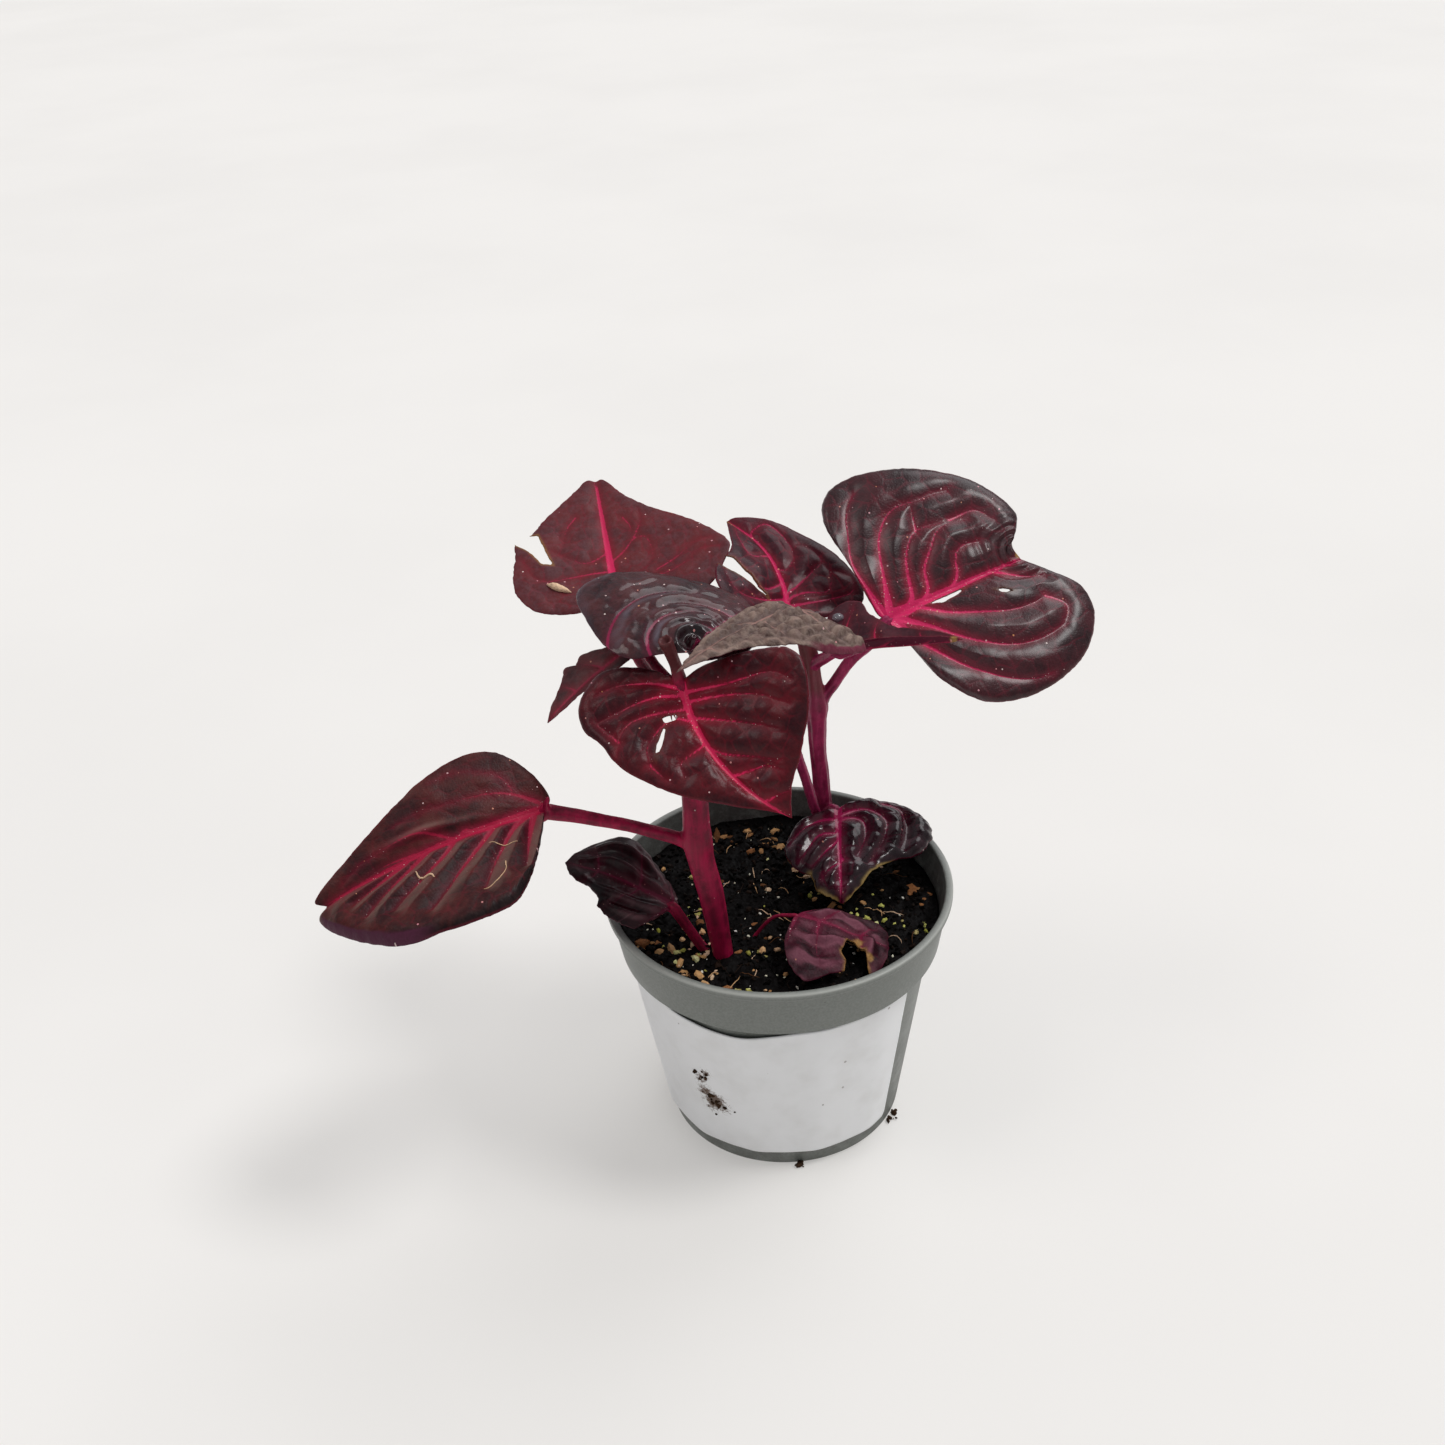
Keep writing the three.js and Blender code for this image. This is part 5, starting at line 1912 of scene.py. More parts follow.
@dataclass
class Peat:
    """The plug of peat: its crumbly surface, loose crumbs, coloured bits and fibres."""

    sizes: PotSizes
    finish: PeatFinish
    stems: tuple[tuple[float, float], ...]
    seed: int = 7
    spacing: float = 0.42
    lump: float = 0.5
    roughness: float = 0.62
    gap: float = 0.25
    crumbs: int = 2600
    crumb_spread: float = 28.0
    fibre_spread: float = 25.5
    clusters: tuple[tuple[Bit, float, float, float, int], ...] = (
        (Bit.BARK, -5.0, 21.5, 6.0, 14), (Bit.BARK, 4.0, 20.0, 5.0, 9), (Bit.CHIP, -15.0, -6.0, 5.0, 10),
        (Bit.CHIP, -14.0, -17.0, 5.0, 9), (Bit.CHIP, -1.0, -24.5, 1.6, 3), (Bit.FLAKE, -5.5, -24.0, 3.2, 9),
        (Bit.FLAKE, 15.5, -4.0, 3.4, 10), (Bit.FLAKE, -6.0, -13.0, 3.4, 4), (Bit.FLAKE, -14.5, 1.5, 3.0, 5),
        (Bit.FLAKE, -7.5, -21.5, 1.7, 8), (Bit.CHIP, -3.5, -22.5, 1.2, 3), (Bit.CHIP, -13.5, -10.0, 3.0, 8),
        (Bit.FLAKE, -17.0, -12.5, 3.0, 6), (Bit.CHIP, -18.0, -17.0, 3.0, 6),
        (Bit.FLAKE, 23.0, -8.0, 2.6, 4), (Bit.CHIP, 21.0, -15.5, 3.0, 4), (Bit.FLAKE, 8.0, 3.5, 2.4, 3),
        (Bit.BARK, -22.5, -11.0, 4.0, 12), (Bit.BARK, 24.5, 1.5, 2.6, 4), (Bit.PERLITE, 0.0, 0.0, 24.0, 130),
        (Bit.CHIP, 0.0, 0.0, 25.0, 34), (Bit.FLAKE, 0.0, 0.0, 25.0, 26), (Bit.BARK, 0.0, 0.0, 25.5, 34))
    fibres: int = 70

    def height(self, flat: Array) -> Array:
        """Height of the peat's surface.

        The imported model's two low waves carry crumbs of several sizes: a crazed pattern's distance
        to its seams makes rounded lumps, and a fractal field breaks them up. It calms at the wall.

        Args:
            flat: Flat places, one row each.

        Returns:
            The height at each place.
        """
        x, y = flat[:, 0], flat[:, 1]
        edge = self.sizes.inner_radius(self.sizes.soil_top) - self.gap
        calm = 1 - np.clip(np.hypot(x, y) / edge, 0, 1) ** 8
        broad = self.lump * (np.sin(0.55 * x + 0.4) * np.cos(0.47 * y) + 0.5 * np.sin(1.3 * x - 0.9 * y))
        lumps = np.sqrt(np.clip(cell_gap(flat, 2.1, 3) / 0.9, 0, 1)) - 0.6
        small = np.sqrt(np.clip(cell_gap(flat, 0.95, 5) / 0.42, 0, 1)) - 0.6
        broken = noise(flat, 3.2, 9, 4)
        rough = self.roughness * (0.8 * lumps + 0.4 * small + 1.0 * broken)
        return self.sizes.soil_top + (0.4 + 0.6 * calm) * (broad + rough) - 0.15

    def plug(self) -> Skin:
        """The plug as one closed skin: a disc of rings under the surface's height, and its side.

        Returns:
            The skin with its tones.
        """
        size = self.sizes
        edge = size.inner_radius(size.soil_top) - self.gap
        rings = int(edge / self.spacing)
        sides = int(2 * math.pi * edge / self.spacing)
        base = size.floor_top + self.gap
        neck, shoulder = size.collar_bottom - size.wall, size.collar_bottom + size.wall
        heights = ((2.1, base), (neck, neck), (shoulder, shoulder))
        side = [(0.0, base)] + [(size.inner_radius(level) - self.gap, height) for level, height in heights]
        top = [(edge * ring / rings, size.soil_top) for ring in range(rings, -1, -1)]
        skin = revolve(np.array(side + top), sides)
        surface = skin.points[:, 2] > size.soil_top - 0.01
        skin.points[surface, 2] = self.height(skin.points[surface, :2])
        tone = 0.14 + 0.12 * noise(skin.points, 1.6, 21, 3)
        skin.values = {"tone": np.clip(tone, 0, 0.42)}
        return skin.outward()

    def bits(self, kind: Bit, places: Array, random: np.random.Generator) -> Skin:
        """Crooked stones of one kind lying at flat places on the peat, a little sunk into it."""
        return crooked_stones(kind, np.column_stack([places, self.height(places)]), random)

    def scattered(self, count: int, x: float, y: float, radius: float, random: np.random.Generator) -> Array:
        """Flat places inside a circle, and inside the pot, clear of the stems.

        Args:
            count: How many are tried.
            x: Middle of the circle to the right.
            y: Middle of the circle to the back.
            radius: Radius of the circle.
            random: Source of the random numbers.

        Returns:
            The places that are clear.
        """
        spread = radius * np.sqrt(random.random(count))
        angle = 2 * math.pi * random.random(count)
        places = np.column_stack([x + spread * np.cos(angle), y + spread * np.sin(angle)])
        keep = np.hypot(places[:, 0], places[:, 1]) < self.sizes.inner_radius(self.sizes.soil_top) - 1.3
        for stem_x, stem_y in self.stems:
            keep &= np.hypot(places[:, 0] - stem_x, places[:, 1] - stem_y) > 2.2
        return places[keep]

    def threads(self, random: np.random.Generator) -> Skin:
        """Thin curved fibres that lie on the peat, each a slim tube along a bent line.

        Args:
            random: Source of the random numbers.

        Returns:
            All fibres as one skin.
        """
        fibres = []
        for middle in self.scattered(self.fibres, 0, 0, self.fibre_spread, random):
            length, angle = random.uniform(1.5, 4.5), random.uniform(0, 2 * math.pi)
            bend = random.uniform(-1.2, 1.2)
            share = np.linspace(-0.5, 0.5, 7)
            turn = angle + bend * share
            flat = middle + length * share[:, None] * np.column_stack([np.cos(turn), np.sin(turn)])
            limit = self.sizes.inner_radius(self.sizes.soil_top) - 1.0
            flat *= np.minimum(1, limit / np.maximum(np.hypot(flat[:, 0], flat[:, 1]), 1e-6))[:, None]
            line = np.column_stack([flat, self.height(flat) + 0.15 + 0.25 * np.cos(math.pi * share)])
            fibre = tube(line, 0.07 * np.cos(math.pi * share * 0.8) + 0.02, 5)
            fibre.values = {"tone": np.full(len(fibre.points), random.choice([0.4, 0.48, 0.66, 0.72]))}
            fibres.append(fibre)
        return joined(fibres)

    def made(self, groups: Groups) -> list[Object]:
        """The plug, which stands for the soil, and the crumbs, bits and fibres on it.

        Args:
            groups: The shared node groups.

        Returns:
            The placed pieces.
        """
        material = self.finish.material(groups)
        random = np.random.default_rng(self.seed)
        plug = self.plug().build("peat_plug")
        crumbs = self.bits(Bit.CRUMB, self.scattered(self.crumbs, 0, 0, self.crumb_spread, random), random)
        crumbs = crumbs.build("peat_crumbs", False)
        coloured = []
        for kind, x, y, radius, count in self.clusters:
            places = self.scattered(count, x, y, radius, random)
            if len(places):
                coloured.append(self.bits(kind, places, random))
        bits = joined(coloured).build("peat_bits", False)
        fibres = self.threads(random).build("peat_fibres")
        place(plug, material, "peat", "soil")
        return [plug] + [place(piece, material, "peat") for piece in (crumbs, bits, fibres)]


@dataclass
class Droplet:
    """A drop of water lying on a leaf: a flattened ball, half of it above the blade."""

    blade: Blade
    spot: tuple[float, float]
    radius: float
    finish: WaterFinish
    flatness: float = 0.62
    raised: float = 0.25

    def made(self) -> Object:
        """The drop as a placed piece.

        Returns:
            The placed piece.
        """
        angles = np.linspace(-math.pi / 2, math.pi / 2, 17)
        profile = self.radius * np.column_stack([np.cos(angles), self.flatness * np.sin(angles)])
        profile[0, 0] = profile[-1, 0] = 0
        skin = revolve(profile, 32)
        skin.points += self.blade.on_top([self.spot], self.raised * self.radius)[0]
        return place(skin.build("water_drop"), self.finish.material(), "leaf_purple")


@dataclass
class Litter:
    """Dry fibres and husks that lie on a leaf, each a slim tube along a line on the blade.

    A strand is its line of flat places, the tube's radii along it, and its tone.
    """

    name: str
    blade: Blade
    strands: tuple[tuple[Line, tuple[float, ...], float], ...]
    slot: str = "peat"

    def made(self, groups: Groups, finish: PeatFinish) -> Object:
        """All strands as one placed piece.

        Args:
            groups: The shared node groups.
            finish: The finish of its material.

        Returns:
            The placed piece.
        """
        strands = []
        for line, widths, tone in self.strands:
            shares = np.linspace(0, 1, 6 * len(line))
            radii = np.interp(shares, np.linspace(0, 1, len(widths)), widths)
            course = self.blade.on_top(spline(line, shares)) + radii[:, None] * (0, 0, 0.6)
            strand = tube(course, radii, 8)
            strand.values = {"tone": np.full(len(strand.points), tone)}
            strands.append(strand)
        return place(joined(strands).build(self.name), finish.material(groups), self.slot)


@dataclass
class SpiltSoil:
    """Crumbs of peat that stick to the label and lie at the pot's foot."""

    sizes: PotSizes
    label: Label
    seed: int = 17
    on_label: int = 30
    foot_level: float = 0.22
    at_foot: tuple[tuple[float, float, float, int], ...] = (
        (3.5, 21.2, 0.9, 12), (57.0, 21.3, 1.1, 6), (62.0, 21.2, 0.9, 4))

    def made(self, groups: Groups, finish: PeatFinish) -> Object:
        """All crumbs as one placed piece.

        On the label they gather round the smears by a normal spread, and at the foot they lie on
        the floor's level at an angle and radius, also by a normal spread.

        Args:
            groups: The shared node groups.
            finish: The finish of its material.

        Returns:
            The placed piece.
        """
        random = np.random.default_rng(self.seed)
        smears = np.array(self.label.smears)
        chosen = smears[random.integers(0, len(smears), self.on_label)]
        height = chosen[:, 1] + 0.7 * random.standard_normal(self.on_label)
        angle = np.radians(chosen[:, 0] + 1.8 * random.standard_normal(self.on_label))
        radius = self.sizes.wall_radius(height) + self.label.clearance + self.label.thickness + 0.05
        places = [around(radius, angle, height)]
        for turn, distance, spread, count in self.at_foot:
            spot = around(distance, math.radians(turn), 0)[0, :2]
            out = spread * np.abs(random.standard_normal((count, 1))) * unit(spot) * 0.5
            aside = 0.6 * spread * random.standard_normal((count, 1)) * np.array([[-spot[1], spot[0]]])
            places.append(np.column_stack([spot + out + aside / distance, np.full(count, self.foot_level)]))
        piece = crooked_stones(Bit.CRUMB, np.vstack(places), random).build("spilt_soil", False)
        return place(piece, finish.material(groups), "peat")


@dataclass
class Studio:
    """Pale seamless floor, soft light, and the camera at the photograph's angle."""

    focal_share: float = 1700 / 1445
    sensor: float = 36.0
    elevation: float = 31.4
    roll: float = -3.1
    distance: float = 276.5
    target_x: float = -8.1
    target_z: float = 78.9
    floor_size: float = 6000.0
    floor_level: float = -0.02
    floor_colour: Colour = srgb(232, 230, 227)
    floor_glow: float = 0.43
    sky: float = 0.29
    lamp_distance: float = 500.0

    def floor(self) -> Object:
        """The floor, a wide square just under the pot, with a faint paper mottle.

        Returns:
            The floor.
        """
        corners = self.floor_size * np.array([(-1, -1), (1, -1), (1, 1), (-1, 1)])
        points = np.column_stack([corners, np.full(4, self.floor_level)])
        piece = Skin(points, [np.array([[0, 1, 2, 3]])]).build("studio_floor", False)
        material, shades, shader = new_material("floor_paper")
        darker = tuple(0.93 * value for value in self.floor_colour)
        cloud = shades.span(shades.noise(shades.spot(), 5.0, 4), 0.35, 0.7, 0, 0.5)
        tone = shades.mix(cloud, self.floor_colour, darker)
        shades.filled(shader, {
            "Base Color": shades.mix(0.4, tone, (0.0, 0.0, 0.0)), "Emission Color": tone,
            "Emission Strength": self.floor_glow, "Roughness": 0.85, "Specular IOR Level": 0.2})
        piece.data.materials.append(material)
        return piece

    def lamp(self, name: str, turn: float, height: float, spread: float, strength: float,
             colour: Colour) -> Object:
        """A wide, far, soft lamp.

        Args:
            name: The lamp's name.
            turn: Where it stands in degrees, 0 behind the plant and 90 at its right.
            height: Its angle above the floor in degrees.
            spread: How wide it looks in degrees, which softens its shadows.
            strength: Light on a surface that faces it, in watts a square metre.
            colour: Its linear colour.

        Returns:
            The lamp.
        """
        data = bpy.data.lights.new(name, "SUN")
        data.angle = math.radians(spread)
        data.energy = strength
        data.color = colour
        lamp = bpy.data.objects.new(name, data)
        bpy.context.scene.collection.objects.link(lamp)
        above = math.radians(height)
        back = around(math.cos(above), math.radians(180 - turn), math.sin(above))[0]
        side = unit(np.cross((0, 0, 1), back))
        lamp.matrix_world = frame_matrix(side, np.cross(back, side), back, self.lamp_distance * back)
        return lamp

    def light(self) -> None:
        """An even sky, a soft lamp high on the right, and weaker ones overhead, behind and on the left."""
        world = bpy.data.worlds.new("studio_sky")
        world.use_nodes = True
        background = world.node_tree.nodes["Background"]
        background.inputs["Color"].default_value = (*srgb(250, 250, 255), 1)
        background.inputs["Strength"].default_value = self.sky
        bpy.context.scene.world = world
        self.lamp("key_lamp", 97, 63, 16, 1.3, (1.0, 0.995, 0.99))
        self.lamp("ceiling_lamp", 80, 75, 120, 0.4, (1.0, 1.0, 1.0))
        self.lamp("window_lamp", 38, 46, 40, 1.0, (0.97, 0.98, 1.0))
        self.lamp("left_lamp", -98, 58, 24, 0.45, (1.0, 0.965, 0.92))

    def camera(self) -> Object:
        """The camera: the photograph's elevation, roll and distance, looking along +Y.

        Returns:
            The camera.
        """
        data = bpy.data.cameras.new("studio_camera")
        data.sensor_width = self.sensor
        data.lens = self.sensor * self.focal_share
        data.clip_start = 0.01
        data.clip_end = 20
        lift, turn = math.radians(self.elevation), math.radians(self.roll)
        back = np.array([0, -math.cos(lift), math.sin(lift)])
        level = np.array([1.0, 0, 0])
        steep = np.cross(back, level)
        right = level * math.cos(turn) + steep * math.sin(turn)
        up = steep * math.cos(turn) - level * math.sin(turn)
        spot = np.array([self.target_x, 0, self.target_z]) + self.distance * back
        camera = bpy.data.objects.new("studio_camera", data)
        bpy.context.scene.collection.objects.link(camera)
        camera.matrix_world = frame_matrix(right, up, back, spot)
        bpy.context.scene.camera = camera
        return camera


def frame_matrix(right: Array, up: Array, back: Array, spot: Array) -> Matrix:
    """Placing matrix of a lamp or camera from its three directions and its place in millimetres.

    Args:
        right: Direction of the object's own X.
        up: Direction of the object's own Y.
        back: Direction of the object's own Z.
        spot: Its place in millimetres.

    Returns:
        The matrix, in metres.
    """
    matrix = np.eye(4)
    matrix[:3, 0], matrix[:3, 1], matrix[:3, 2] = right, up, back
    matrix[:3, 3] = np.asarray(spot) * METRES
    return Matrix(matrix.tolist())


BLADES = {
    "leaf_right_notched": BladeShape(
        base=(20, 12, 89.5), tip=(43.5, 21, 95), roll=-37, droop=15, fold=(12, 12), cup=(-25, -30), half=24,
        sweep=0, puff=0.95, wave=0.2,
        left=((-1, 2.5), (-1, 11.5), (-1, 20.5), (2, 25.5), (7.5, 26.5), (15, 24), (21, 20), (26, 15),
            (29, 8.5), (28, 5.5), (25.5, 3)),
        right=((0.9, -4.5), (2.6, -13), (7, -19.5), (13, -22), (20, -22), (27, -19.5), (32, -14),
            (32.5, -8.5), (29, -4)),
        cuts=(((7.0, -0.9), (9.8, -0.75), (12.4, -0.7), (14.8, -0.8), (12.4, -1.6), (9.6, -1.9)),
            ((17.8, -3.6), (19.6, -4.2), (21, -5.4), (19.2, -5.1))),
        laterals=(((0, 1), (-0.5, 6.5), (-0.5, 11.5), (1, 15.5), (3, 20), (6, 23)), ((1, 1), (2, 4),
            (3.5, 8.5), (5, 12.5), (7.5, 15.5), (10.5, 17), (14, 16.5), (17, 16.5), (20, 16)), ((5.5, 1.5),
            (6.5, 5), (8, 8.5), (11, 11.5), (14, 11.5), (17.5, 11)), ((11.5, 11.5), (13, 16)), ((8.5, 1.5),
            (9.5, 5), (12, 7.5), (14.5, 10), (17, 10.5), (20.5, 10)), ((14, 1.5), (15, 4), (16, 5.5),
            (18, 6), (20.5, 5.5)), ((17.5, 11), (22.5, 11), (24.5, 8)), ((5, 0), (9, -3.5), (14, -6),
            (18.5, -8), (23, -8.5), (25.5, -8)), ((1.5, -0.5), (5.5, -4.5), (9, -8.5), (12.5, -11.5),
            (16, -13.5), (20.5, -14.5), (25, -14), (26, -13)), ((1, -0.5), (2.5, -5.5), (5, -10),
            (7.5, -13.5), (9.5, -15.5), (12.5, -18), (16.5, -20), (20, -20.5)), ((20, 0), (23.5, -3),
            (27, -4.5)), ((25.5, -8), (28, -11), (25.5, -14)))),
    "leaf_front_heart": BladeShape(
        base=(-14, -9, 92), tip=(1.5, -27, 78), roll=-27, droop=25, fold=(20, 5), cup=(0, -20), half=22,
        sweep=-3.5, puff=0.9, wave=0.15,
        left=((0.3, 2), (1, 4.7), (3, 8), (5.5, 12), (8.5, 15.7), (12, 16), (16.5, 13), (21, 7.5), (24, 3)),
        right=((-2.5, -1), (-7.5, -4.5), (-10, -9), (-8, -14.5), (-4, -16.5), (0, -15.8), (6, -15.5),
            (14, -12), (21, -6), (25.5, -1.5)),
        cuts=(((3.4, -6.4), (3.5, -5.2), (4.4, -3.5), (4.8, -4.8), (4.3, -6)), ((8.6, -11.1), (6.5, -9.4),
            (5.1, -7.5), (4.1, -5.8), (5.4, -6.9), (6.9, -8.5), (7.9, -9.9))),
        laterals=(((2, -0.5), (6, 5), (9.5, 11.5), (12.5, 13)), ((3.5, -1.5), (7, 3.5), (11, 8),
            (15, 10.5)), ((6, -2.5), (11, 2), (16.5, 7)), ((10.5, -3.5), (13.5, -2.5), (17, 1), (20, 4)),
            ((17.5, -3), (18.5, -0.5), (19.5, 2), (21.5, 3.5)), ((23.5, -1.5), (24, 1), (24.5, 2.5)),
            ((1.5, -0.5), (-2.5, -3.5), (-6, -8), (-7, -11.5)), ((2, -1.5), (-0.5, -5), (-2, -9.5),
            (-3, -14)), ((4.5, -2), (2, -6.5), (0.5, -10.5), (1.5, -13), (3.5, -15)), ((6.5, -3),
            (4.5, -4.5), (4.5, -7.5), (6, -11), (9.5, -12)), ((11, -4), (11, -8), (13, -9)), ((2, -13.5),
            (-4, -14.5)), ((8.5, -12), (12, -11.5)))),
    "leaf_low_left": BladeShape(
        base=(-37.5, -9, 69.5), tip=(-71.5, -22, 62.5), roll=18, droop=30, fold=(0, 28), cup=(25, -25),
        half=22, sweep=0, puff=0.6, wave=0.15,
        left=((1, 2.2), (3.6, 7), (7.3, 13), (10.5, 17), (14, 18), (21, 17.5), (29, 14.5), (36, 7.5),
            (39.5, 2)),
        right=((-1.5, -2), (0, -6.5), (4, -11.5), (9, -13), (16, -11.5), (24, -8), (31, -5), (38.5, -2)),
        laterals=(((2, 0), (5.5, 1.5), (8.5, 4.5), (11.5, 8), (14, 12)), ((7.5, -0.5), (12, 3), (16, 6),
            (19.5, 9.5), (22.5, 12)), ((13.5, -1), (18, 2.5), (23.5, 5.5), (27.5, 8)), ((18, -0.5),
            (23.5, 2), (29, 4.5), (32, 6.5)), ((24, 0.5), (29.5, 2), (33, 3)), ((2, 0.5), (4.5, 5),
            (7, 10.5)), ((0.5, -1.5), (6, -5), (13.5, -6), (19, -6.5), (23, -6)), ((4, -4), (5, -7.5),
            (10.5, -10.5), (15.5, -10.5)), ((15.5, -0.5), (20, -3.5), (25, -3.5), (30, -3), (34, -1.5)),
            ((22, -0.5), (27, -1), (32, -0.5)))),
    "leaf_back_left": BladeShape(
        base=(-24.8, 19.4, 93.2), tip=(-28.5, 46.8, 102.1), roll=5, droop=0, fold=(5, 5), cup=(0, 0),
        half=20, sweep=0, puff=0.35, wave=0.15,
        left=((-3.1, 6.3), (-2.1, 12.7), (1, 15.8), (5.3, 16.8), (10.6, 16), (15.3, 15.4), (17.5, 12.2),
            (21.1, 9.5), (26.4, 4.3), (29.5, 1.6)),
        right=((-2.6, -4.3), (-4.3, -10.6), (-2.6, -15.8), (1.6, -19), (5.8, -20.6), (10, -18.5),
            (14.8, -14.2), (20.1, -7.9), (24.3, -4.3), (29, -1.6)),
        cuts=(((8.4, 9.7), (16.8, 11.6), (17.1, 14.8), (15, 15.8), (12.7, 13.5), (8.8, 11.6)),),
        laterals=(((20, 4.6), (17, 6.6), (13, 7.4)), ((10.5, 0), (9, 2), (8.5, 5), (12, 9.5)), ((5.5, 0),
            (5.5, 5.5), (5, 12.5), (11, 15)), ((18, -3.6), (15.5, -4.6), (12, -4.5)), ((7.5, 0), (10, -3),
            (12, -4.5), (12, -7), (7, -7.5), (4.5, -5.5), (3.5, -3.5)), ((12, -4.5), (16, -6.5),
            (19.5, -6.5)), ((3.5, -7.5), (5.5, -11.5), (8.5, -15.5), (8, -18)), ((5, -0.5), (2.5, -4.5),
            (2.5, -10.5), (6, -15.5), (5.5, -19)))),
    "leaf_back_centre": BladeShape(
        base=(3.7, 18.1, 89.7), tip=(-5.5, 35.2, 98.3), roll=-5, droop=15, fold=(18, 15), cup=(0, -10),
        half=14, sweep=-2.5, puff=0.5, wave=0.15,
        left=((-0.7, 4.1), (-1, 8.7), (0.9, 12.2), (4.6, 13.4), (8.1, 11.6), (10.6, 8.1), (13.2, 4.6),
            (17.2, 2.3)),
        right=((-3, -2), (-4.6, -8.1), (-4.1, -12.2), (-1.5, -14.2), (3, -14.2), (8.1, -13), (13.2, -10.1),
            (18.2, -6.6), (21.3, -2)),
        cuts=(((11.4, 9.4), (10.4, 6.2), (6.6, 4.5), (1.6, 3.3), (4.4, 5.7), (7, 8.1), (9.6, 10.6)),),
        laterals=(((5, -2), (3.5, 3.5), (8, 5), (10.5, 6)), ((1.5, -1), (1.5, 4.5), (3, 9.5), (7, 10),
            (10.5, 8)), ((11, -2), (11, 2), (15.5, 1.5), (20.5, -1)), ((17, -2.5), (17.5, -6), (11.5, -7),
            (8.5, -6), (7, -4)), ((8, -2.5), (7, -4), (9, -6.5)), ((2.5, -1.5), (3.5, -4.5), (5, -8),
            (6.5, -10.5), (10, -9.5), (11.5, -7)), ((1.5, -1.5), (1.5, -4.5), (0, -8), (3.5, -10.5),
            (6.5, -10)), ((0, -1), (-1, -5.5), (-1.5, -8.5), (-1.5, -12), (1.5, -13.5), (4, -10.5)))),
    "leaf_arched_glossy": BladeShape(
        base=(-1.6, 8.5, 94.4), tip=(-12.9, -7.5, 96.4), roll=15, droop=35, fold=(0, 0), cup=(-30, -12),
        half=20, sweep=0, puff=0.6, wave=0.1,
        left=((1, 1.5), (3.9, 3.4), (8.9, 5.9), (13.8, 6.4), (17.7, 4.4), (20.7, 2)),
        right=((0.2, -4.3), (0.8, -11.8), (3.9, -16.7), (8.4, -21.2), (13.8, -23.6), (19.2, -23.1),
            (22.7, -18.7), (26.1, -11.8), (26.1, -6.4), (22.7, -3))),
    "leaf_grey_front": BladeShape(
        base=(4.9, 5, 96.3), tip=(-14.5, -17.5, 98.6), roll=-5, droop=20, fold=(-5, 0), cup=(-30, 0),
        half=16, sweep=0, veins=6, puff=0.4, wave=0.1,
        left=((-1.5, 2), (-1, 6), (-1.3, 10.5), (-1.4, 13.8), (4, 13), (9, 10), (13, 7), (19.5, 3.5),
            (26, 1)),
        right=((-1, -2.5), (-0.5, -5.5), (4, -6.3), (10, -5), (19, -3.2), (26, -1.2))),
    "leaf_folded_right": BladeShape(
        base=(10.9, 5, 88.2), tip=(30, -4, 94.2), roll=0, droop=10, fold=(25, 65), cup=(0, 0), half=12,
        sweep=0, veins=5, puff=0.3, wave=0.1,
        left=((-2, 4), (-3, 8), (-0.5, 10.5), (2.6, 9.8), (5, 6.8), (9.5, 3.6), (13.5, 2.6), (18, 1.6)),
        right=((-0.4, -1.4), (4, -1.7), (9, -1.5), (14, -1.3), (19, -0.9))),
    "leaf_small_left": BladeShape(
        base=(-20.6, 3, 92.7), tip=(-35.7, -6, 84.2), roll=0, droop=20, fold=(10, 10), cup=(0, 0), half=10,
        sweep=0, veins=4, puff=0.3, wave=0.1,
        left=((1, 2), (4, 2.6), (8, 2), (12, 1.5), (16, 0.8)),
        right=((1.5, -2), (4.5, -3.5), (8, -5.5), (10, -4.5), (11.5, -5.3), (14, -3.5), (17, -2))),
    "leaf_low_right": BladeShape(
        base=(11.5, 13, 51.5), tip=(10.5, -5, 44.5), roll=0, droop=20, fold=(0, 0), cup=(-20, -30), half=14,
        sweep=0, puff=0.6, wave=0.4,
        left=((-2, 3), (-3, 7.5), (-2, 13.5), (2.5, 17), (7.5, 15.5), (9.5, 12.5), (10.5, 9.5), (12.5, 6.5),
            (16, 3.5), (18.5, 1.5)),
        right=((1, -3.5), (3, -8), (8, -9.5), (12.5, -7.5), (14, -5), (17, -4), (18.5, -1.5)),
        laterals=(((3, 0), (2, 2), (3, 4.5), (7, 4.5), (10.5, 3)), ((2, 0), (-0.5, 4.5), (1.5, 8), (4, 8.5),
            (7.5, 7.5), (11.5, 5.5)), ((-2, 8), (-1, 11.5), (3, 12), (7.5, 11)), ((2.5, 0), (2.5, -3.5),
            (5, -7), (7.5, -8.5)), ((7.5, -0.5), (9.5, -2.5), (12, -4.5)), ((11.5, 0.5), (13, -1.5),
            (15, -3)), ((5.5, -0.5), (6, -3.5), (9, -5.5), (11, -7)))),
    "leaf_drooping_left": BladeShape(
        base=(-18, -9, 49), tip=(-36, -2, 54), roll=15, droop=35, fold=(0, 0), cup=(-20, -10), half=12,
        sweep=0, veins=4, puff=0.5, wave=0.3,
        left=((1, 2.5), (3.5, 6.5), (7, 7.5), (10.5, 6.5), (12.5, 4), (15.5, 3.2), (18.5, 2)),
        right=((0, -1.5), (5, -5.5), (11, -8.5), (15, -7.5), (19, -3))),
    "leaf_fallen_front": BladeShape(
        base=(2.5, -10, 46.5), tip=(17.5, -15, 42.3), roll=0, droop=10, fold=(0, 0), cup=(-15, -15),
        half=10, sweep=0, veins=4, puff=0.4, wave=0.2,
        left=((3.5, 3), (8, 5), (12, 5.2), (15, 4)),
        right=((-0.3, -2), (0, -7), (2, -11), (5.5, -12.5), (9, -9.5), (12, -8), (15.5, -6.8),
            (16.5, -3.5)),
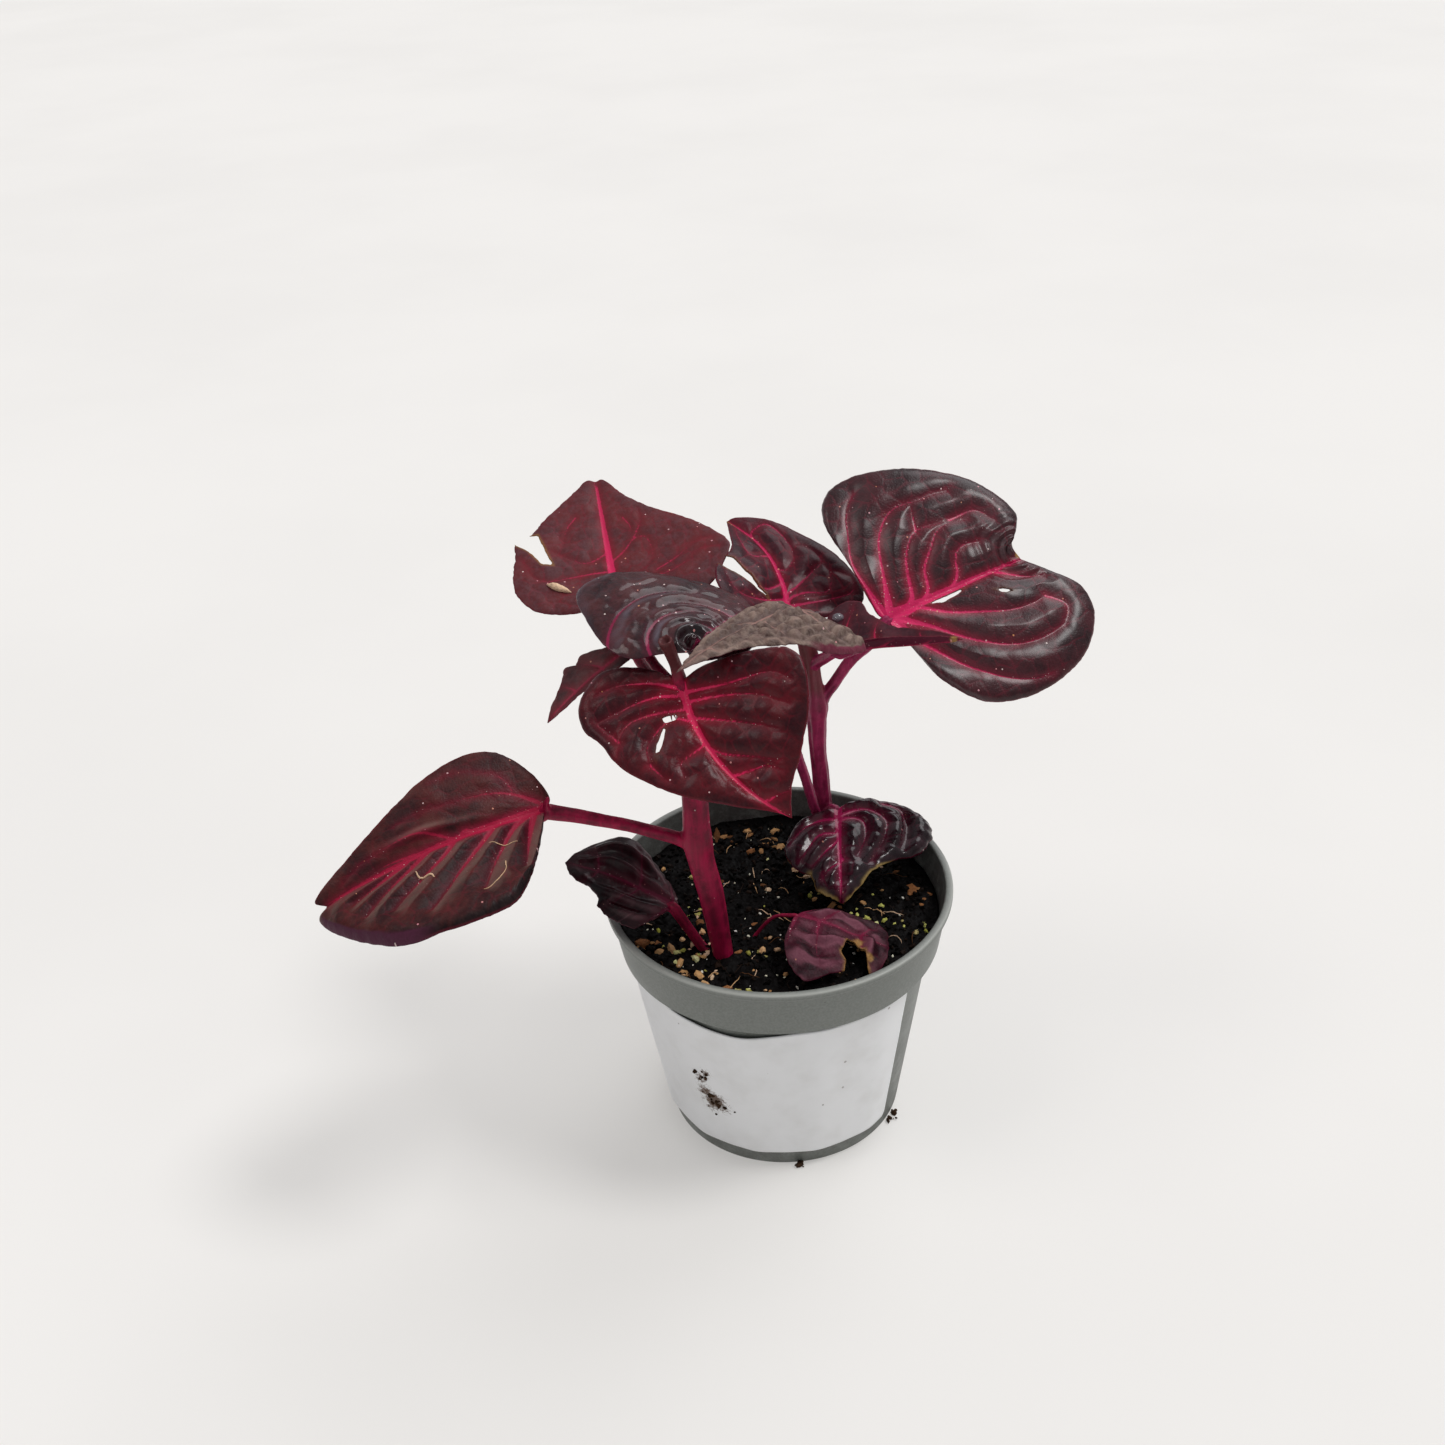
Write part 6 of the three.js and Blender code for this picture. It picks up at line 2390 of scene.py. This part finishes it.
        cuts=(((9.4, -3.4), (10.4, -2.5), (11.4, -3.1), (12.4, -2.7), (13.4, -4.4), (14.8, -7.4),
            (13.4, -9.4), (11, -9.8), (10.4, -7), (9.1, -5.4)),)),
}
LEFT_STEM = Shoot(
    line=((-9.6, -12, 36), (-10.1, -12, 40.5), (-11.5, -12, 53), (-12.7, -11.7, 59.5), (-13.2, -11.5, 63.8),
          (-13.2, -11, 71.8), (-13.4, -10, 82), (-14.2, -8.7, 90.6), (-14.9, -8.6, 95.1),
          (-16.2, -9.9, 100.2)),
    radii=(1.6, 1.7, 2.1, 2.2, 2.3, 2.1, 1.8, 1.3, 0.95, 1.15))
LEFT_STALKS = (
    Shoot(((-13.2, -11.5, 63.2), (-22.2, -11.5, 66.9), (-30.2, -10.5, 68.7), (-37.3, -9, 69.5)),
          (1.2, 1.05, 1.1, 1.35), "leaf_low_left"),
    Shoot(((-36.6, -9.4, 69.6), (-37.0, -10.2, 71.4), (-36.4, -10.6, 73.2)), (0.8, 0.6, 0.3)),
    Shoot(((-10, -12, 38.5), (-13.2, -10, 40.2), (-15.4, -9.4, 43.8), (-18, -9, 48.8)),
          (1, 0.95, 0.9, 1.0), "leaf_drooping_left"),
    Shoot(((-9.8, -12, 38.2), (-5.8, -8.6, 39.8), (-1.5, -8.8, 45.2), (2.4, -10, 46.4)),
          (0.6, 0.42, 0.36, 0.42), "leaf_fallen_front"),
    Shoot(((-13.8, -9.6, 86.5), (-14, -9.7, 89.5), (-14.1, -9.4, 91.9)), (1.1, 1, 1), "leaf_front_heart"),
    Shoot(((-14.3, -8.4, 90), (-17.5, -3.5, 91), (-20.4, 2.7, 92.5)), (1, 0.9, 0.8), "leaf_small_left"),
    Shoot(((-14, -9.2, 87), (-19.5, 2, 87.5), (-23.6, 13, 89.5), (-24.8, 19.2, 92.9)),
          (1.1, 0.95, 0.95, 1.0), "leaf_back_left"),
)
RIGHT_STEM = Shoot(
    line=((11.2, 19.6, 36), (10.9, 19, 41.9), (9.5, 18, 48.1), (8.7, 16, 58.2), (8.3, 15, 63.5),
          (8.1, 13.6, 72.8), (7.5, 12.6, 79), (6.9, 12, 84.1), (5.8, 12, 89.6)),
    radii=(1.5, 1.5, 1.5, 1.45, 1.45, 1.7, 1.5, 1.6, 1.2))
RIGHT_STALKS = (
    Shoot(((8.2, 13.8, 73), (11, 13.2, 77.2), (13.8, 12.7, 81.8), (17.3, 12.2, 85.5), (19.9, 12, 89.2)),
          (1.1, 1, 1, 1, 1.3), "leaf_right_notched"),
    Shoot(((7.2, 12.4, 81.5), (9, 9.4, 84.4), (10.8, 5.3, 88)), (1.2, 1, 0.9), "leaf_folded_right"),
    Shoot(((6.4, 12, 86.5), (5.8, 8.4, 91.5), (5.1, 5.4, 95.4)), (1.1, 0.9, 0.8), "leaf_grey_front"),
    Shoot(((6.4, 12, 85.5), (5, 15.3, 87.7), (3.9, 17.7, 89.2)), (1.1, 1, 0.9), "leaf_back_centre"),
    Shoot(((6.5, 12, 86), (2.4, 10.8, 90.6), (-1.4, 8.7, 94.1)), (1, 0.9, 0.8), "leaf_arched_glossy"),
    Shoot(((9.3, 17.8, 46), (7.9, 14.6, 49.8), (5.9, 11.5, 59.2), (4.7, 10, 64.6), (3.7, 8.8, 70)),
          (1, 0.85, 0.85, 0.8, 0.6)),
    Shoot(((9.4, 17.8, 47.5), (10.4, 15.4, 50.2), (11.4, 13.2, 51.3)), (1.1, 0.9, 0.8), "leaf_low_right"),
)


LOW_LEAF_STRANDS = (
    (((20.4, 6.6), (20.8, 5.2), (22.4, 4.6), (22.6, 3.4)), (0.1, 0.2, 0.18, 0.09), 0.72),
    (((10.6, 3.4), (9.0, 4.4), (6.6, 5.4)), (0.05, 0.1, 0.06), 0.7),
    (((14.6, 13.2), (12.0, 12.4), (10.4, 11.0), (9.8, 9.0)), (0.05, 0.09, 0.06, 0.12), 0.7),
)
BACK_LEAF_STRANDS = (
    (((3.9, 11.2), (2.4, 9.4), (1.2, 7.4)), (0.1, 0.5, 0.68, 0.62, 0.45, 0.1), 0.73),
)


def blades() -> list[Blade]:
    """Every leaf's blade, with its own finish and marks.

    Returns:
        The blades, in the order that they are built in.
    """
    return [
        Blade("leaf_right_notched",
            LeafFinish("notched_leaf", srgb(66, 19, 27), srgb(34, 11, 16), roughness=0.34, coat=0.34,
                coat_roughness=0.25, specular=0.14, glow=srgb(150, 16, 54), vein=srgb(214, 36, 98),
                speck_share=0.14, grit_share=0.45, glow_share=0.95, relief=0.45, flank_light_and_shade=0.35,
                dust=srgb(112, 92, 96)),
            "leaf_glossy", 101, midrib_width=0.95, lateral_width=0.22, wrinkle=0.06, crumple=0.4,
            quilt=0.02, dome=2.0, base_fan=0.55, ripples=((25.0, 2.0, 1.5, 0.34, 4.6),), cut_dry=0.1,
            dry_spots=((25.8, 1.0, 0.9),)),
        Blade("leaf_front_heart",
            LeafFinish("heart_leaf", srgb(84, 18, 26), srgb(46, 11, 18), vein=srgb(218, 38, 90),
                glow=srgb(144, 14, 44), glow_share=0.8, dry=srgb(150, 90, 70), specular=0.15, coat=0.06,
                speck_share=0.12, grit_share=0.35, relief=0.25, flank_light_and_shade=0.4, dust=srgb(104, 74, 80)),
            "leaf_satin", 102, midrib_width=0.6, lateral_width=0.15),
        Blade("leaf_low_left",
            LeafFinish("low_leaf", srgb(78, 28, 28), srgb(44, 18, 21), vein=srgb(168, 26, 62),
                glow=srgb(128, 14, 46), glow_share=1.0, roughness=0.42, coat=0.0, specular=0.14,
                dust=srgb(122, 98, 90), dust_share=0.05, flank_light_and_shade=0.85, relief=0.3, grit_share=0.2,
                underside=srgb(84, 38, 62)),
            "leaf_satin", 103, midrib_width=0.8, lateral_width=0.42, lateral_fade=0.3, faint=0.3,
            pucker_sides=(3.6, 0.35), dome=2.5, quilt=0.04, vein_sides=(1.0, 0.0), lit_flank_side=(0.7, -0.7),
            turned=((1, 0.62, 0.93, 1.1, 0.8),), ridges=((((9, -1.8), (14, -2.6), (20, -3.4),
            (27, -3.4)), 0.7, 0.8),)),
        Blade("leaf_back_left",
            LeafFinish("back_left_leaf", srgb(98, 36, 39), srgb(76, 34, 38), vein=srgb(204, 36, 88),
                roughness=0.44, coat=0.02, net_share=0.24, speck_share=0.1, specular=0.14,
                dust=srgb(112, 84, 92), dust_share=0.2),
            "leaf_satin", 104, midrib_width=0.7, lateral_width=0.12, lateral_fade=0.3, faint=0.65,
            ragged=0.2, cut_dry=0.6),
        Blade("leaf_back_centre",
            LeafFinish("back_centre_leaf", srgb(74, 22, 34), srgb(40, 15, 24), vein=srgb(196, 30, 88),
                roughness=0.33, coat=0.08, net_share=0.3, specular=0.1, speck_share=0.11, grit_share=0.15),
            "leaf_satin", 105, midrib_width=0.45, lateral_width=0.11, faint=0.5, ragged=0.16, cut_dry=0.3,
            dry_spots=((21.6, 0.4, 0.7),)),
        Blade("leaf_arched_glossy",
            LeafFinish("arched_leaf", srgb(74, 34, 36), srgb(32, 13, 17), vein=srgb(132, 22, 64),
                glow=srgb(88, 15, 42), roughness=0.26, coat=0.5, coat_roughness=0.13, specular=0.06,
                dust_share=0.05, dust=srgb(116, 108, 120), speck_share=0.2, glow_share=0.4, flank_light_and_shade=0.7,
                shade=srgb(6, 3, 5)),
            "leaf_glossy", 106, midrib_width=0.3, lateral_width=0.22, arcs=((17.6, -0.6, 13.4, 328, 216),
            (17.6, -0.6, 7.2, 330, 190), (17.6, -0.6, 4.4, 110, 240), (17.4, -1.0, 9.6, 150, 230)),
            ripples=((17.6, -0.6, 2.3, 0.8, 3.9), (17.6, -0.6, 3.4, 0.14, 14.0)), lit_flank_side=(0.2, -1.0)),
        # Painted sheen: the pale grey-brown lamina, dark, vein and dust colours of this leaf stand in for the
        # shine of its fine hairs at a grazing angle.
        Blade("leaf_grey_front",
            LeafFinish("grey_leaf", srgb(136, 112, 102), srgb(96, 72, 66), vein=srgb(150, 112, 104),
                glow=srgb(66, 44, 42), dust=srgb(150, 132, 120), dust_share=0.45, roughness=0.5, coat=0.0,
                glow_share=0.3, net_share=0.8, net_width=0.6, relief=0.7, underside=srgb(112, 26, 60),
                flank_light_and_shade=0.55, shade=srgb(58, 42, 38)),
            "leaf_dusty", 107, midrib_width=0.3, lateral_width=0.12, net_size=2.7, quilt=3.0, ragged=0.4,
            lit_flank_side=(0.0, -1.0), ridges=((((0.4, 0.2), (7.8, 1.2), (12.6, 1.2), (17.6, 0.6),
            (25.2, 0.4)), 0.5, 0.5),), turned=((1, 0.1, 0.62, 0.9, 0.5),)),
        Blade("leaf_folded_right",
            LeafFinish("folded_leaf", srgb(80, 34, 44), srgb(46, 18, 28), underside=srgb(92, 16, 44),
                specular=0.16, coat=0.05, speck_share=0.2, grit_share=0.3),
            "leaf_purple", 108, midrib_width=0.3, lateral_width=0.15, crumple=0.5, wrinkle=0.3, ragged=0.2,
            dry_spots=((20.5, 0.0, 0.8),)),
        Blade("leaf_small_left",
            LeafFinish("small_leaf", srgb(92, 38, 42), srgb(56, 24, 28), vein=srgb(150, 26, 60),
                dust_share=0.14, roughness=0.44, coat=0.0),
            "leaf_dusty", 109, midrib_width=0.3, lateral_width=0.12, ragged=0.25),
        Blade("leaf_low_right",
            LeafFinish("crumpled_leaf", srgb(42, 13, 23), srgb(17, 7, 12), vein=srgb(176, 28, 88),
                glow=srgb(128, 16, 58), roughness=0.26, coat=0.45, coat_roughness=0.15, glow_share=0.8,
                specular=0.1, dry=srgb(206, 176, 104), grit_share=0.3, flank_light_and_shade=0.3, dust=srgb(124, 84, 98)),
            "leaf_glossy", 110, midrib_width=0.5, lateral_width=0.16, ragged=0.35, crumple=0.7, wrinkle=0.2,
            pucker_sides=(1.8, 1.8), dome=1.5, ripples=((17.5, 0.5, 3.4, 0.5, 4.2),),
            ridges=((((-1.5, 11.6), (2, 12.6), (5.5, 12.2), (9, 11)), -1.6, 1.0),),
            dry_margin=((1, 0.62, 0.98), (-1, 0.55, 0.98))),
        Blade("leaf_drooping_left",
            LeafFinish("drooping_leaf", srgb(44, 16, 22), srgb(16, 8, 10), vein=srgb(92, 20, 46),
                glow=srgb(78, 14, 34), roughness=0.34, coat=0.12, specular=0.12, flank_light_and_shade=0.75,
                dust=srgb(104, 66, 74), shade=srgb(8, 4, 6), grit_share=0.2),
            "leaf_glossy", 111, midrib_width=0.35, lateral_width=0.14, crumple=0.5, wrinkle=0.25,
            ragged=0.35, ridges=((((1, 1.8), (6, 3.2), (12, 3.4), (18, 1.2)), 1.9, 0.7), (((1, -1),
            (7, -1.6), (13, -2.4), (18, -1.4)), 1.9, 0.7), (((3, -2.6), (8, -5), (14, -5.6),
            (18, -3)), 1.7, 0.7), (((2, 4), (6, 5.4), (10, 5.4), (14, 3.6)), 1.4, 0.6))),
        Blade("leaf_fallen_front",
            LeafFinish("fallen_leaf", srgb(66, 17, 32), srgb(25, 9, 15), vein=srgb(120, 26, 58),
                glow=srgb(96, 20, 48), roughness=0.46, coat=0.0, specular=0.12, relief=0.5,
                underside=srgb(88, 26, 52), flank_light_and_shade=0.8, dust=srgb(150, 92, 108), grit_share=0.3),
            "leaf_purple", 112, midrib_width=0.35, lateral_width=0.16, crumple=0.7, wrinkle=0.7,
            ragged=0.35, cut_dry=0.85, lit_flank_side=(-0.3, -0.95), ridges=((((1, 0.5), (5, 2.2), (10, 2.6),
            (14, 1.2)), 1.5, 0.8), (((1, -4), (5, -4.4), (9, -3.4), (13, -4.6)), 1.6, 0.8), (((2.5, -7.5),
            (6, -8.6), (10, -6.8)), 1.3, 0.7), (((11.5, 0.8), (13.4, -1.6), (13.2, -4.4)), 1.5, 0.8)),
            dry_spots=((11.2, -1.8, 1.1), (14.0, -4.2, 0.8))),
    ]


def main() -> None:
    """Load the frame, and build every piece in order."""
    logging.basicConfig(level=logging.INFO, format="%(name)s: %(message)s")
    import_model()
    bpy.context.scene.view_settings.view_transform = "Standard"
    studio = Studio()
    studio.camera()
    studio.light()
    studio.floor()
    groups = Groups()
    sizes = PotSizes()
    Pot(sizes, PotFinish()).made(groups)
    label = Label(sizes, PaperFinish())
    label.made(groups)
    feet = (LEFT_STEM.line[1][:2], RIGHT_STEM.line[1][:2])
    Peat(sizes, PeatFinish(), feet).made(groups)
    brown = ((0.0, srgb(34, 23, 17)), (1.0, srgb(110, 80, 56)))
    SpiltSoil(sizes, label).made(groups, PeatFinish("spilt_peat", brown))
    Stem("left_stem", LEFT_STEM, LEFT_STALKS,
         StemFinish("left_stem_skin", srgb(160, 18, 64), srgb(92, 8, 36), srgb(84, 40, 42)),
         "left_stem_skin", 201, brown_from=91.0, brown_full=95.5,
         collars=((-13.2, -11.5, 63.8, 0.28),)).made(groups)
    Stem("right_stem", RIGHT_STEM, RIGHT_STALKS,
         StemFinish("right_stem_skin", srgb(172, 50, 96), srgb(106, 22, 56)), "right_stem_skin", 202,
         ribs=6, rib_height=0.16, brown_from=72.0, brown_full=78.0, brown_share=0.7,
         collars=((8.1, 13.6, 72.8, 0.3),)).made(groups)
    leaves = {blade.name: blade for blade in blades()}
    for blade in leaves.values():
        blade.made(groups)
    Droplet(leaves["leaf_folded_right"], (-1.0, 7.2), 0.95, WaterFinish()).made()
    litter = PeatFinish("dry_litter")
    Litter("low_leaf_litter", leaves["leaf_low_left"], LOW_LEAF_STRANDS).made(groups, litter)
    Litter("back_leaf_husk", leaves["leaf_back_left"], BACK_LEAF_STRANDS).made(groups, litter)
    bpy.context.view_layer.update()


if __name__ == "__main__":
    main()
